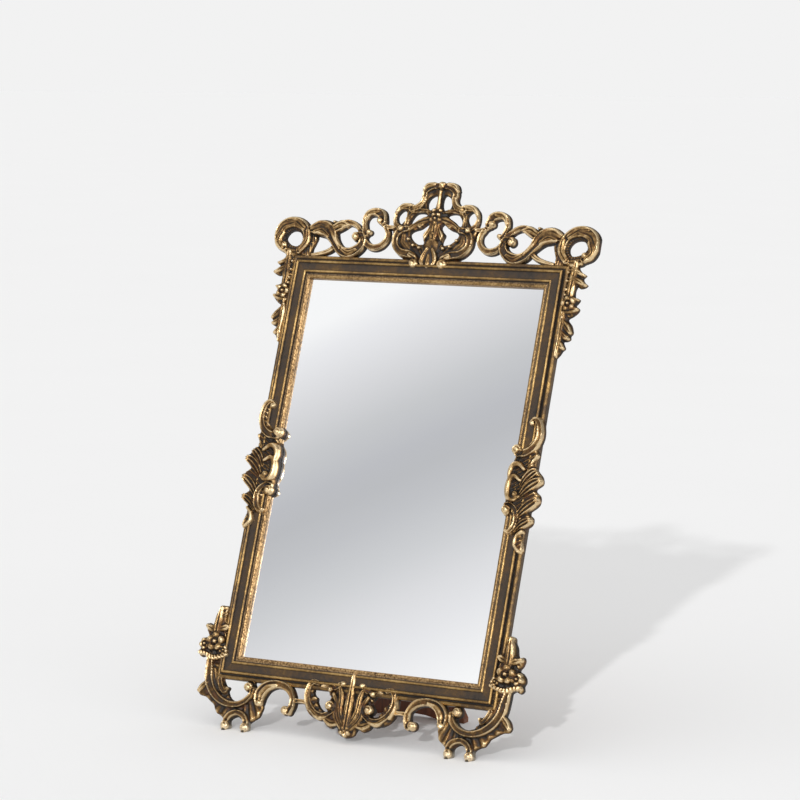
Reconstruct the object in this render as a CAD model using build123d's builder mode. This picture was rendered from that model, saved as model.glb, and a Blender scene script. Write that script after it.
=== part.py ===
"""Giltwood table mirror: a moulded frame with a pierced rococo crest and apron, on a hinged strut.

Millimetres. X runs across the mirror, the front faces -Y, +Z is up and z = 0 is the table.
The frame leans back, so its pieces are drawn in the plane of the glass: across and up from
the middle of the glass, with depths measured towards the viewer from the front of the glass.
"""
from build123d import *
from math import sin, cos, radians
import os

os.makedirs("parts", exist_ok=True)

# Stance
lean = 20.75                # frame leans back from upright, degrees
strut_opening = 22.0        # angle between the strut and the back when open, degrees
strut_gap = 0.2             # strut end to the stop block at rest
foot_drop = 47.3            # bottom of the frame to the front edge of the feet

# Glass and the moulding round it
sight_width = 243.0
sight_height = 361.0
rail_width = 22.0
rebate_width = 5.5          # how far the lip covers the glass
glass_side_gap = 0.5
glass_thickness = 2.5
felt_thickness = 1.0
lip_wall = 2.6              # square sight edge in front of the glass
lip_width = 3.5
bead_width = 3.0
inner_bead = 6.4            # sight edge to the middle of each bead
outer_bead = 15.7
outer_band = 18.2           # sight edge to the start of the outer band

# Moulding depths in front of the glass
lip_depth = 4.6
inner_quirk_depth = 3.8
inner_bead_depth = 6.1
band_depth = 4.9
outer_bead_depth = 6.8
outer_quirk_depth = 3.2
outer_band_depth = 4.2
outer_edge_depth = 2.9

# Corner splines
spline_leg = 15.0
spline_thickness = 1.4
spline_setback = 1.1        # behind the front of the glass
slot_gap = 0.1

# Backboard
backboard_margin = 8.0      # backboard edge to the outside of the frame
backboard_thickness = 5.0
backboard_chamfer = 1.5
nail_inset = 4.5
nail_length = 9.0
nail_side = 1.8
nail_head_side = 4.2
nail_head_rise = 1.0
nail_gap = 0.05
nail_head_slope = 30.0      # degrees
nails_across = (-70.0, 70.0)
nails_up = (-115.0, 115.0)

# Hinge
hinge_height = 40.0         # hinge pin above the middle of the glass
hinge_width = 54.0
leaf_length = 20.0
leaf_thickness = 1.2
pin_radius = 1.2
pin_gap = 0.05
knuckle_gap = 0.3
knuckle_board_gap = 0.2
leaf_notch_gap = 0.5        # leaves clear the other leaf's knuckles
hinge_screw_radius = 1.5
hinge_screw_sides = 8
hinge_screws_across = (-19.0, 19.0)
hinge_screw_drop = 13.0     # below the pin
fixed_screw_length = 4.6
strut_screw_length = 6.5
screw_gap = 0.05

# Strut and the block that stops it
strut_thickness = 9.0
strut_top_width = 70.0
strut_waist_width = 84.0
strut_waist_height = 62.0   # above the table
strut_foot_width = 113.0
strut_toe = 4.0             # upright edge at each toe
strut_arch_rise = 4.5
strut_arch_width = 66.0
block_width = 60.0
block_length = 24.0
block_thickness = 15.0
block_chamfer = 4.0
block_clearance = 0.8       # block to the hinge knuckles
block_notch = 7.2           # depth cut out for the knuckles and the moving leaf

# Carved ornament, depths from the front of the glass
crest_back = -3.0
crest_front = 4.6
web_front = 2.0             # thin ribbed webs between scrolls
volute_front = 8.4          # scrolls of the crest where they cross the rail
drop_back = -1.5
drop_front = 5.5
rocaille_back = 0.5
rocaille_front = 9.0
flower_front = 9.0
apron_back = -1.5
apron_front = 7.0
crest_rise = 76.5           # top of the crest above the frame
core_front = 1.0            # overlaid carving starts this far in front of the glass
bed_gap = 0.02              # overlaid carving to the moulding's lip and outer band
flat_rise = 0.035           # a run that rises less than this part of its length stays straight

# Loose tongues that hold the crest and the apron to the rails: middle across, width
tongue_reach = 4.0          # into each of the two pieces
tongue_thickness = 1.6
tongue_depth = 0.8          # middle of the tongue in front of the glass
tongue_gap = 0.05
crest_tongues = ((-132.5, 6.0), (-88.0, 8.0), (0.0, 14.0), (88.0, 8.0), (132.5, 6.0))
apron_tongues = ((-137.2, 4.0), (0.0, 14.0), (137.2, 4.0))

rebate_depth = glass_thickness + felt_thickness
half_width = sight_width / 2 + rail_width
half_height = sight_height / 2 + rail_width
foot_reach = half_height + foot_drop
crest_top = half_height + crest_rise
rail_back = -rebate_depth
board_back = rail_back - backboard_thickness
knuckle_radius = pin_radius + leaf_thickness
pin_out = knuckle_radius + knuckle_board_gap    # hinge pin behind the backboard
knuckle_length = hinge_width / 3

# The carving is drawn for a frame 287 wide and 405 long, a crest 76.5 tall and feet 47.3 long
across_scale = half_width / 143.5
up_scale = half_height / 202.5
crest_scale = crest_rise / 76.5
foot_scale = foot_drop / 47.3


def frame_point(across, up, depth):
    """A point of the leaning frame before it is set on the table."""
    slope = radians(lean)
    return Vector(across, up * sin(slope) - depth * cos(slope), up * cos(slope) + depth * sin(slope))


table = frame_point(0, -foot_reach, apron_front).Z
front_reach = frame_point(0, -foot_reach, apron_front).Y
rear_reach = frame_point(0, crest_top, crest_back).Y
setting = Vector(0, -(front_reach + rear_reach) / 2, -table)


def tilted(origin, angle):
    """A plane through a point that leans back by an angle and faces the viewer."""
    slope = radians(angle)
    return Plane(origin, x_dir=(1, 0, 0), z_dir=(0, -cos(slope), sin(slope)))


def face(depth):
    """The leaning plane this far in front of the glass."""
    return tilted(frame_point(0, 0, depth) + setting, lean)


def spot(across, up):
    """Where the frame's sizes put a drawn point of the carving."""
    inside = max(-202.5, min(202.5, up))
    beyond = (up - inside) * (crest_scale if up > 0 else foot_scale)
    return across * across_scale, inside * up_scale + beyond


def arcs(*points, closed=False):
    """A smooth run of arcs through a few points, drawn into the current line."""
    run = [Vector(*point) for point in points]
    last = len(run) - 1
    if closed:
        ways = [(run[(i + 1) % (last + 1)] - run[i - 1]).normalized() for i in range(last + 1)]
        pairs = [(i, (i + 1) % (last + 1)) for i in range(last + 1)]
    else:
        ways = [(run[min(i + 1, last)] - run[max(i - 1, 0)]).normalized() for i in range(last + 1)]
        pairs = [(i, i + 1) for i in range(last)]
    for i, j in pairs:
        chord = run[j] - run[i]
        middle = (run[i] + run[j]) * 0.5 + (ways[i] - ways[j]) * (chord.length / 8)
        if abs(chord.cross(middle - run[i]).Z) < flat_rise * chord.length ** 2:
            Line(run[i], run[j])
        else:
            ThreePointArc(run[i], middle, run[j])


def curved(*points):
    """A smooth run of arcs through drawn points of the carving."""
    arcs(*[spot(*point) for point in points])


def straight(*points):
    """A run of straight edges through drawn points of the carving."""
    Polyline(*[spot(*point) for point in points])


def band(*stations):
    """A carved band with pointed ends, from (across, up, half width) along its centreline."""
    spine = [Vector(*spot(x, y)) for x, y, _ in stations]
    halves = [half * across_scale for _, _, half in stations]
    last = len(spine) - 1
    ways = [(spine[min(i + 1, last)] - spine[max(i - 1, 0)]).normalized() for i in range(last + 1)]
    sides = [way.rotate(Axis.Z, 90) * half for way, half in zip(ways, halves)]
    left = [point + side for point, side in zip(spine, sides)]
    right = [point - side for point, side in zip(spine, sides)]
    with BuildSketch() as outline:
        with BuildLine():
            arcs(*left)
            arcs(*right)
            Polyline(left[0], spine[0] - ways[0] * halves[0], right[0])
            Polyline(left[-1], spine[-1] + ways[-1] * halves[-1], right[-1])
        make_face()
    return outline.sketch


def disc(across, up, radius):
    """A round boss or volute eye."""
    with BuildSketch() as outline:
        with Locations(spot(across, up)):
            Circle(radius * across_scale)
    return outline.sketch


def shape(*points):
    """A smooth closed outline through a few drawn points."""
    with BuildSketch() as outline:
        with BuildLine():
            arcs(*[spot(*point) for point in points], closed=True)
        make_face()
    return outline.sketch


def cut_shape(*points):
    """A closed outline with straight edges through drawn points."""
    with BuildSketch() as outline:
        Polygon(*[spot(*point) for point in points], align=None)
    return outline.sketch


def mirrored(half):
    """The other hand of a finished piece."""
    with BuildPart() as other:
        add(half)
        mirror(about=Plane.YZ, mode=Mode.REPLACE)
    return other.part


def finish(piece, name):
    piece.label = name
    export_step(piece, f"parts/{name}.step")


# Moulding section: distance out from the sight edge, then depth
bead_half = bead_width / 2
with BuildSketch() as moulding:
    with BuildLine():
        Line((0, 0), (0, lip_wall))
        ThreePointArc((0, lip_wall), (lip_width / 2, lip_depth), (lip_width, inner_quirk_depth))
        Line((lip_width, inner_quirk_depth), (inner_bead - bead_half, inner_quirk_depth))
        Line((inner_bead - bead_half, inner_quirk_depth), (inner_bead - bead_half, band_depth))
        ThreePointArc((inner_bead - bead_half, band_depth), (inner_bead, inner_bead_depth),
                      (inner_bead + bead_half, band_depth))
        Line((inner_bead + bead_half, band_depth), (outer_bead - bead_half, band_depth))
        ThreePointArc((outer_bead - bead_half, band_depth), (outer_bead, outer_bead_depth),
                      (outer_bead + bead_half, band_depth))
        Line((outer_bead + bead_half, band_depth), (outer_bead + bead_half, outer_quirk_depth))
        Line((outer_bead + bead_half, outer_quirk_depth), (outer_band, outer_quirk_depth))
        ThreePointArc((outer_band, outer_quirk_depth),
                      ((outer_band + rail_width) / 2, outer_band_depth), (rail_width, outer_edge_depth))
        Polyline((rail_width, outer_edge_depth), (rail_width, rail_back), (rebate_width, rail_back),
                 (rebate_width, 0), (0, 0))
    make_face()

# Square nails round the backboard, their heads on its back
board_half = half_width - backboard_margin
board_rise = half_height - backboard_margin
nail_spots = [(x, y * (board_rise - nail_inset)) for x in nails_across for y in (-1, 1)]
nail_spots += [(x * (board_half - nail_inset), y) for x in (-1, 1) for y in nails_up]


def nails(gap):
    """The nails, or with a gap the holes for them."""
    with BuildPart() as group:
        with BuildSketch(face(board_back)):
            with Locations(*nail_spots):
                Rectangle(nail_side + 2 * gap, nail_side + 2 * gap)
        extrude(amount=nail_length + gap)
        if not gap:
            with BuildSketch(face(board_back)):
                with Locations(*nail_spots):
                    Rectangle(nail_head_side, nail_head_side)
            extrude(amount=-nail_head_rise, taper=nail_head_slope)
    return group.part


def tongues(gap):
    """The loose tongues of the crest and apron, or with a gap the mortises for them."""
    with BuildPart() as group:
        with BuildSketch(face(tongue_depth - tongue_thickness / 2 - gap)):
            for up, row in ((half_height, crest_tongues), (-half_height, apron_tongues)):
                for across, width in row:
                    with Locations((across * across_scale, up)):
                        Rectangle(width + 2 * gap, 2 * (tongue_reach + gap))
        extrude(amount=tongue_thickness + 2 * gap)
    return group.part


def corner_splines(gap):
    """The splines across the four mitres, or with a gap the slots for them."""
    leg = spline_leg + gap
    with BuildPart() as group:
        with BuildSketch(face(gap - spline_setback)):
            for x, y in ((1, 1), (-1, 1), (-1, -1), (1, -1)):
                corner = (x * half_width, y * half_height)
                Polygon(corner, (corner[0] - x * leg, corner[1]), (corner[0], corner[1] - y * leg),
                        align=None)
        extrude(amount=-spline_thickness - 2 * gap)
    return group.part


nail_set = nails(0)
nail_holes = nails(nail_gap)
tongue_set = tongues(0)
mortises = tongues(tongue_gap)
spline_slots = corner_splines(slot_gap)
finish(nail_set, "backboard_nails")
finish(tongue_set, "crest_tongues")
finish(corner_splines(0), "mitre_splines")


def mitred(outline, turn, sight, half_length):
    """One mitred length with the given section, turned about the middle of the glass."""
    across_way = face(0).x_dir * cos(radians(turn)) + face(0).y_dir * sin(radians(turn))
    base = Plane(face(0).origin, x_dir=across_way, z_dir=face(0).z_dir)
    section = Plane(base.from_local_coords((0, sight, 0)), x_dir=base.y_dir, z_dir=base.x_dir)
    inner = half_length - rail_width
    with BuildPart() as length:
        with BuildSketch(section):
            add(outline)
        extrude(amount=half_length, both=True)
        with BuildSketch(base.offset(rail_back)):
            Polygon((-inner, sight), (inner, sight), (half_length, sight + rail_width),
                    (-half_length, sight + rail_width), align=None)
        extrude(amount=outer_bead_depth - rail_back, mode=Mode.INTERSECT)
    return length.part


def rail(turn, sight, half_length):
    """One length of moulding with its spline slots, mortises and nail holes."""
    with BuildPart() as length:
        add(mitred(moulding.sketch, turn, sight, half_length))
        add(spline_slots, mode=Mode.SUBTRACT)
        add(mortises, mode=Mode.SUBTRACT)
        add(nail_holes, mode=Mode.SUBTRACT)
    return length.part


top_rail = rail(0, sight_height / 2, half_width)
left_stile = rail(90, sight_width / 2, half_height)
bottom_rail = rail(180, sight_height / 2, half_width)
right_stile = rail(270, sight_width / 2, half_height)
finish(top_rail, "top_rail")
finish(left_stile, "left_stile")
finish(bottom_rail, "bottom_rail")
finish(right_stile, "right_stile")

# Glass and felt in the rebate
glass_across = sight_width + 2 * (rebate_width - glass_side_gap)
glass_up = sight_height + 2 * (rebate_width - glass_side_gap)
with BuildPart() as glass:
    with BuildSketch(face(-glass_thickness)):
        Rectangle(glass_across, glass_up)
    extrude(amount=glass_thickness)
finish(glass.part, "mirror_glass")

with BuildPart() as felt:
    with BuildSketch(face(-rebate_depth)):
        Rectangle(glass_across, glass_up)
    extrude(amount=felt_thickness)
finish(felt.part, "backing_felt")

# Hinge pin frame: the fixed leaf lies on the backboard, the moving leaf on the strut
pin_point = frame_point(0, hinge_height, board_back - pin_out) + setting
fixed_frame = tilted(pin_point, lean)
strut_lean = lean - strut_opening
strut_frame = tilted(pin_point, strut_lean)
pin_start = Plane(pin_point - Vector(hinge_width / 2, 0, 0), x_dir=(0, 1, 0), z_dir=(1, 0, 0))


def hinge_screws(frame, depth, length, gap):
    """Flush hinge screws that start at a depth in their frame, or with a gap their holes."""
    with BuildPart() as group:
        with BuildSketch(frame.offset(depth)):
            for across in hinge_screws_across:
                with Locations((across, -hinge_screw_drop)):
                    RegularPolygon(hinge_screw_radius + gap, hinge_screw_sides)
        extrude(amount=length + (gap if length > 0 else -gap))
    return group.part


def hinge_leaf(frame, front, zones, gap):
    """A leaf whose knuckles fill some thirds of the pin, less a gap at their ends."""
    with BuildPart() as leaf:
        with BuildSketch(frame.offset(front - leaf_thickness)):
            with Locations((0, -leaf_length / 2)):
                Rectangle(hinge_width, leaf_length)
            for zone in (0, 1, 2):
                if zone not in zones:
                    with Locations(((zone - 1) * knuckle_length, 0)):
                        Rectangle(knuckle_length + 2 * gap, 2 * (knuckle_radius + leaf_notch_gap),
                                  mode=Mode.SUBTRACT)
        extrude(amount=leaf_thickness)
        for zone in zones:
            with BuildSketch(pin_start.offset(zone * knuckle_length + gap)):
                Circle(knuckle_radius)
            extrude(amount=knuckle_length - 2 * gap)
        with BuildSketch(pin_start):
            Circle(pin_radius + pin_gap)
        extrude(amount=hinge_width, mode=Mode.SUBTRACT)
    return leaf.part


with BuildPart() as pin:
    with BuildSketch(pin_start):
        Circle(pin_radius)
    extrude(amount=hinge_width)
finish(pin.part, "hinge_pin")

fixed_face = pin_out - leaf_thickness
fixed_screws = hinge_screws(fixed_frame, fixed_face, fixed_screw_length, 0)
fixed_holes = hinge_screws(fixed_frame, fixed_face, fixed_screw_length, screw_gap)
strut_front = -knuckle_radius
moving_face = strut_front + leaf_thickness
strut_screws = hinge_screws(strut_frame, moving_face, -strut_screw_length, 0)
strut_holes = hinge_screws(strut_frame, moving_face, -strut_screw_length, screw_gap)
finish(fixed_screws, "fixed_leaf_screws")
finish(strut_screws, "strut_leaf_screws")

with BuildPart() as fixed_leaf:
    add(hinge_leaf(fixed_frame, pin_out, (0, 2), 0))
    add(fixed_holes, mode=Mode.SUBTRACT)
finish(fixed_leaf.part, "hinge_fixed_leaf")

with BuildPart() as strut_leaf:
    add(hinge_leaf(strut_frame, moving_face, (1,), knuckle_gap))
    add(strut_holes, mode=Mode.SUBTRACT)
finish(strut_leaf.part, "hinge_strut_leaf")

with BuildPart() as backboard:
    with BuildSketch(face(board_back)):
        Rectangle(2 * board_half, 2 * board_rise)
    extrude(amount=backboard_thickness)
    chamfer(backboard.faces().sort_by(Axis(face(0).origin, face(0).z_dir))[0].edges(),
                                                backboard_chamfer)
    add(nail_holes, mode=Mode.SUBTRACT)
    add(fixed_holes, mode=Mode.SUBTRACT)
finish(backboard.part, "backboard")

# Block that the open strut bears on, cut out round the hinge
stop_face = -(knuckle_radius + block_clearance)
with BuildPart() as block:
    with BuildSketch(fixed_frame.offset(pin_out - block_thickness)):
        with Locations((0, stop_face + block_length / 2)):
            Rectangle(block_width, block_length)
    extrude(amount=block_thickness)
    chamfer(block.faces().sort_by(Axis(fixed_frame.origin, fixed_frame.z_dir))[0].edges()
            .sort_by(Axis(fixed_frame.origin, fixed_frame.y_dir))[-1], block_chamfer)
    with BuildSketch(fixed_frame.offset(pin_out - block_notch)):
        Rectangle(hinge_width + 2 * block_clearance, -2 * stop_face)
    extrude(amount=block_notch, mode=Mode.SUBTRACT)
finish(block.part, "stop_block")

# Strut: a tapered board with a flared foot, its top end bevelled to bear on the block
strut_length = pin_point.Z / cos(radians(strut_lean))
waist = strut_waist_height - strut_length
flare = (strut_foot_width - strut_waist_width) / 2
with BuildPart() as strut:
    with BuildSketch(strut_frame.offset(strut_front - strut_thickness)):
        with BuildLine():
            Line((0, 0), (-strut_top_width / 2, 0))
            Line((-strut_top_width / 2, 0), (-strut_waist_width / 2, waist))
            arcs(*[(-strut_waist_width / 2 - flare * out, waist - down * (strut_waist_height - strut_toe))
                   for out, down in ((0, 0), (0.14, 0.4), (0.5, 0.75), (1, 1))])
            Line((-strut_foot_width / 2, -strut_length + strut_toe),
                 (-strut_foot_width / 2, -strut_length - 1))
            Line((-strut_foot_width / 2, -strut_length - 1), (-strut_arch_width / 2, -strut_length - 1))
            Line((-strut_arch_width / 2, -strut_length - 1), (-strut_arch_width / 2, -strut_length))
            arcs((-strut_arch_width / 2, -strut_length),
                 (-strut_arch_width / 4, -strut_length + strut_arch_rise * 0.8),
                 (0, -strut_length + strut_arch_rise))
            Line((0, -strut_length + strut_arch_rise), (0, 0))
        make_face()
        mirror(about=Plane.YZ)
    extrude(amount=strut_thickness)
    with BuildSketch(Plane.XY):
        Rectangle(2 * strut_foot_width, 4 * strut_foot_width)
    extrude(amount=-strut_thickness, mode=Mode.SUBTRACT)
    with BuildSketch(fixed_frame.offset(pin_out - 3 * block_thickness)):
        with Locations((0, stop_face - strut_gap + block_length / 2)):
            Rectangle(2 * strut_top_width, block_length)
    extrude(amount=3 * block_thickness, mode=Mode.SUBTRACT)
    add(strut_holes, mode=Mode.SUBTRACT)
finish(strut.part, "strut")

# Bed for the carving laid over the frame: a slab over the glass, stepped over the moulding's crowns
with BuildSketch() as steps:
    with BuildLine():
        Polyline((0, rail_back), (0, lip_depth + bed_gap),
                 (inner_bead - bead_half, lip_depth + bed_gap),
                 (inner_bead - bead_half, inner_bead_depth), (inner_bead + bead_half, inner_bead_depth),
                 (inner_bead + bead_half, band_depth), (outer_bead - bead_half, band_depth),
                 (outer_bead - bead_half, outer_bead_depth), (outer_bead + bead_half, outer_bead_depth),
                 (outer_bead + bead_half, outer_band_depth + bed_gap),
                 (rail_width, outer_band_depth + bed_gap), (rail_width, rail_back), (0, rail_back))
    make_face()
with BuildPart() as bed:
    with BuildSketch(face(rail_back)):
        Rectangle(sight_width, sight_height)
    extrude(amount=core_front - rail_back)
    add(mitred(steps.sketch, 0, sight_height / 2, half_width))
    add(mitred(steps.sketch, 90, sight_width / 2, half_height))
    add(mitred(steps.sketch, 180, sight_height / 2, half_width))
    add(mitred(steps.sketch, 270, sight_width / 2, half_height))


def scribed(carving, *neighbours):
    """A carving cut to fit the frame and the pieces that it lies against."""
    with BuildPart() as fitted:
        add(carving)
        add(bed.part, mode=Mode.SUBTRACT)
        add(mortises, mode=Mode.SUBTRACT)
        for neighbour in neighbours:
            add(neighbour, mode=Mode.SUBTRACT)
    return fitted.part


# Crest cartouche: its left half outline and holes, mirrored
with BuildPart() as cartouche:
    with BuildSketch(face(crest_back)):
        with BuildLine():
            curved((0, 279), (-4.2, 277.4), (-7.2, 275.2))
            curved((-7.2, 275.2), (-12.5, 274.9), (-17.6, 271.6), (-19, 264), (-22.5, 256.4))
            curved((-22.5, 256.4), (-30, 256.9), (-38, 254.3), (-43.2, 246.5), (-44.4, 236.5),
                   (-43.6, 226), (-39, 214.5), (-27, 202.5))
            straight((-27, 202.5), (0, 202.5), (0, 279))
        make_face()
        add(shape((-4.8, 265.8), (-2.4, 259.5), (-5.2, 251.2), (-11.6, 252.6), (-11.8, 261)),
                  mode=Mode.SUBTRACT)
        add(shape((-36.3, 250.2), (-31, 244.5), (-36, 237.2), (-41.2, 243.5)), mode=Mode.SUBTRACT)
        with BuildLine():
            curved((-26.8, 234.6), (-26.3, 242), (-20.5, 247.8), (-10.5, 246.2))
            curved((-10.5, 246.2), (-18, 241), (-26.8, 234.6))
        make_face(mode=Mode.SUBTRACT)
        with BuildLine():
            curved((-25.9, 227.5), (-22, 221.8), (-15, 217.9), (-9.2, 218))
            straight((-9.2, 218), (-8.9, 223), (-11, 227.5), (-6.6, 231.8), (-4.8, 235.5), (-8, 238.8),
                     (-12, 236.2))
            curved((-12, 236.2), (-15.5, 233.6), (-22.5, 231.2), (-25.9, 227.5))
        make_face(mode=Mode.SUBTRACT)
        mirror(about=Plane.YZ)
    extrude(amount=crest_front - crest_back)
    with BuildSketch(face(0)):
        add(band((-30, 209, 3.8), (-21.5, 207.3, 4), (-14.6, 203.2, 4)))
        add(disc(-14.8, 197.8, 4.7))
        with BuildLine():
            curved((0, 216), (-8, 209), (-7.5, 199), (0, 193.8))
            straight((0, 193.8), (0, 216))
        make_face()
        mirror(about=Plane.YZ)
    extrude(amount=volute_front)
crest_middle = scribed(cartouche.part)
finish(crest_middle, "crest_cartouche")

# Crest wing: a pierced ring at the corner, then an S scroll and a B scroll
with BuildPart() as wing:
    with BuildSketch(face(crest_back)):
        add(shape((-153, 239.7), (-164.5, 234.3), (-168.8, 221), (-164, 208.5), (-152, 202),
                  (-136, 200), (-130, 214), (-133, 231), (-143.5, 239)))
        add(shape((-158.6, 219), (-154, 227), (-144.5, 227.6), (-137.7, 219), (-143.5, 210.4),
                  (-154, 213)), mode=Mode.SUBTRACT)
        add(band((-131.5, 228, 3.6), (-120, 230.3, 7.4), (-110, 226.5, 6.6), (-101.5, 214.5, 3.8),
                 (-91, 207.3, 5), (-80.5, 208.8, 5), (-73.6, 216.5, 3.9), (-75.5, 223.8, 3.4),
                 (-82, 223.6, 3.8)))
        add(band((-104, 230.5, 5), (-97, 234.2, 4.4), (-89.5, 236.4, 2.6), (-80.5, 232, 2.4),
                 (-74, 224, 2.4)))
        add(band((-71, 225.5, 2.6), (-74.2, 235, 2.3), (-71.5, 245.3, 3.2), (-63.5, 247.6, 4),
                 (-57, 243, 4.3), (-56, 237.5, 3.6)))
        add(band((-51.5, 232.8, 2.2), (-48.3, 224.5, 2.3), (-52.2, 216, 2.8), (-60, 213, 3.1),
                 (-67.5, 215, 3), (-71.5, 219.5, 2.4)))
        add(cut_shape((-55.5, 231.5), (-43.5, 231.5), (-43.5, 235.5), (-55.5, 235.5)))
    extrude(amount=crest_front - crest_back)
    with BuildSketch(face(crest_back)):
        add(cut_shape((-131, 226), (-123.5, 222), (-124.3, 216), (-126.5, 210), (-127.5, 200),
                      (-134, 200), (-133, 215)))
    extrude(amount=web_front - crest_back)
    with BuildSketch(face(crest_back)):
        Rectangle(2 * half_width, 2 * half_height)
    extrude(amount=crest_front - crest_back, mode=Mode.SUBTRACT)
crest_wing = scribed(wing.part, crest_middle)
finish(crest_wing, "crest_wing_left")
finish(mirrored(crest_wing), "crest_wing_right")

# Leaf drop down the top of the stile
with BuildPart() as drop:
    with BuildSketch(face(drop_back)):
        add(cut_shape((-146, 207), (-151.5, 207), (-152.5, 201), (-156, 197), (-160.5, 194.6),
                      (-158, 191.3), (-160, 188), (-163.2, 185.5), (-160.5, 183), (-156.5, 182.2),
                      (-153.6, 183.5), (-152.2, 180), (-152.4, 176), (-153.5, 173.4), (-158, 172),
                      (-156.8, 168.6), (-155, 166), (-158.8, 163.4), (-158, 160), (-154, 156.2),
                      (-149.7, 153), (-153.8, 148), (-155.6, 144), (-156.4, 140.5), (-154.6, 137.8),
                      (-155, 134.8), (-152, 132.8), (-148.5, 132), (-151.4, 126.4), (-149.2, 123.8),
                      (-147, 119.8), (-143.4, 116.5), (-142.4, 123), (-143, 132), (-142, 138),
                      (-141.5, 146), (-143, 153), (-143.5, 157), (-140.8, 163), (-140.5, 171),
                      (-142.5, 176), (-141.8, 181), (-141.5, 190), (-142, 199)))
    extrude(amount=drop_front - drop_back)
leaf_drop = scribed(drop.part, crest_wing)
finish(leaf_drop, "leaf_drop_left")
finish(mirrored(leaf_drop), "leaf_drop_right")

# Rocaille over the middle of the stile: fluted lobes outside, C scrolls towards the glass
with BuildPart() as rocaille:
    with BuildSketch(face(rocaille_back)):
        with BuildLine():
            straight((-137, 62.5), (-141.5, 61.8), (-144.2, 57), (-145, 48), (-146, 40), (-144.5, 34),
                     (-141.8, 31), (-143.8, 27.5), (-143.2, 24), (-141.5, 20.5), (-144.8, 13),
                     (-149.5, 10.5), (-152, 5), (-150.2, 0), (-146, -4), (-150.5, -8.5), (-151.7, -13),
                     (-149.5, -19), (-143.6, -25), (-147.6, -29), (-148.3, -32.5), (-146, -37),
                     (-141.5, -40.5), (-142, -50), (-144, -58.5), (-141, -62.5), (-137.5, -59),
                     (-135.8, -52), (-136.4, -45), (-130, -46.5), (-124.6, -44.8), (-127.5, -41))
            curved((-127.5, -41), (-133.2, -34.5), (-129, -27.2))
            curved((-129, -27.2), (-123, -26.4), (-119.7, -21.5), (-121.6, -16.2))
            curved((-121.6, -16.2), (-119.2, -5), (-119.4, 8), (-121.5, 19.5), (-123.2, 25.4))
            curved((-123.2, 25.4), (-119.9, 31.5), (-124.5, 37), (-131.5, 36))
            curved((-131.5, 36), (-138.3, 42.5), (-134.6, 57.5), (-137, 62.5))
        make_face()
    extrude(amount=rocaille_front - rocaille_back)
side_rocaille = scribed(rocaille.part)
finish(side_rocaille, "side_rocaille_left")
finish(mirrored(side_rocaille), "side_rocaille_right")

# Foot: a deep C scroll from the corner, a leaf, a ribbed web and a small C that stands on the table
with BuildPart() as foot:
    with BuildSketch(face(apron_back)):
        with BuildLine():
            curved((-155.5, -180), (-155.3, -188), (-153.5, -197), (-151.3, -205))
            curved((-151.3, -205), (-156, -210.5), (-160.6, -215.6))
            curved((-160.6, -215.6), (-158.8, -219.6), (-152.5, -220.8), (-146.5, -224.5))
            straight((-146.5, -224.5), (-142, -227.5), (-140.5, -230.5), (-137.5, -234.5),
                     (-134, -235.8), (-129, -239.5), (-128.4, -246))
            straight((-128.4, -246), (-127, -253), (-123.2, -253), (-121.8, -246))
            curved((-121.8, -246), (-121, -239.5), (-114.6, -235.6), (-108.6, -239.5), (-107.6, -246))
            straight((-107.6, -246), (-106.6, -253), (-102.6, -253), (-100.9, -246), (-100.5, -240.5),
                     (-96, -236.6), (-92, -233.4), (-90.5, -229), (-89.5, -224.5), (-92, -219),
                     (-99.7, -214))
            curved((-99.7, -214), (-99.6, -209), (-102, -204.4), (-106, -202.5))
            straight((-106, -202.5), (-140, -180), (-155.5, -180))
        make_face()
        with BuildLine():
            curved((-134.8, -202.5), (-132.6, -208.4), (-129.4, -210.5), (-128.6, -215), (-124, -220.4),
                   (-117, -221.4), (-110.3, -218.6), (-107.4, -213), (-110.5, -209.5), (-112, -202.5))
            straight((-112, -202.5), (-134.8, -202.5))
        make_face(mode=Mode.SUBTRACT)
    extrude(amount=apron_front - apron_back)
    with BuildSketch(Plane.XY):
        Rectangle(4 * half_width, 4 * half_height)
    extrude(amount=-rail_width, mode=Mode.SUBTRACT)
foot_scroll = scribed(foot.part)
finish(foot_scroll, "foot_scroll_left")
finish(mirrored(foot_scroll), "foot_scroll_right")

# Corner flower with its leaf, over the foot scroll and the corner of the frame
with BuildPart() as flower:
    with BuildSketch(face(apron_back)):
        add(cut_shape((-143, -137), (-147, -135.6), (-150.4, -137), (-151.5, -141), (-154, -145.5),
                      (-155.5, -151.5), (-157.8, -154.5), (-161.2, -152.8), (-163, -156),
                      (-162, -160.7), (-159.5, -165), (-163.2, -167.2), (-166.5, -171), (-167.2, -175),
                      (-165.9, -178.2), (-166.6, -182.5), (-163.5, -185), (-159, -183.5),
                      (-154, -186.8), (-148, -187.6), (-142, -185.5), (-137, -184.5), (-133.6, -181.8),
                      (-132.8, -177.5), (-136.2, -172), (-138.2, -167), (-139.4, -160), (-136.8, -155),
                      (-142.5, -148.5)))
    extrude(amount=flower_front - apron_back)
corner_flower = scribed(flower.part, foot_scroll)
finish(corner_flower, "corner_flower_left")
finish(mirrored(corner_flower), "corner_flower_right")

# Scroll between the foot and the palmette
with BuildPart() as apron_scroll:
    with BuildSketch(face(apron_back)):
        add(band((-93.6, -220.5, 4.4), (-92.6, -210.5, 6.1), (-85, -203.6, 4.9), (-74.5, -202, 4),
                 (-64.5, -205.4, 3.8), (-59.5, -213, 3), (-59.5, -220.5, 3.4), (-64.5, -225.4, 3.9)))
        add(band((-57, -215, 2.4), (-45.5, -215, 2.4)))
    extrude(amount=apron_front - apron_back)

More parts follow.
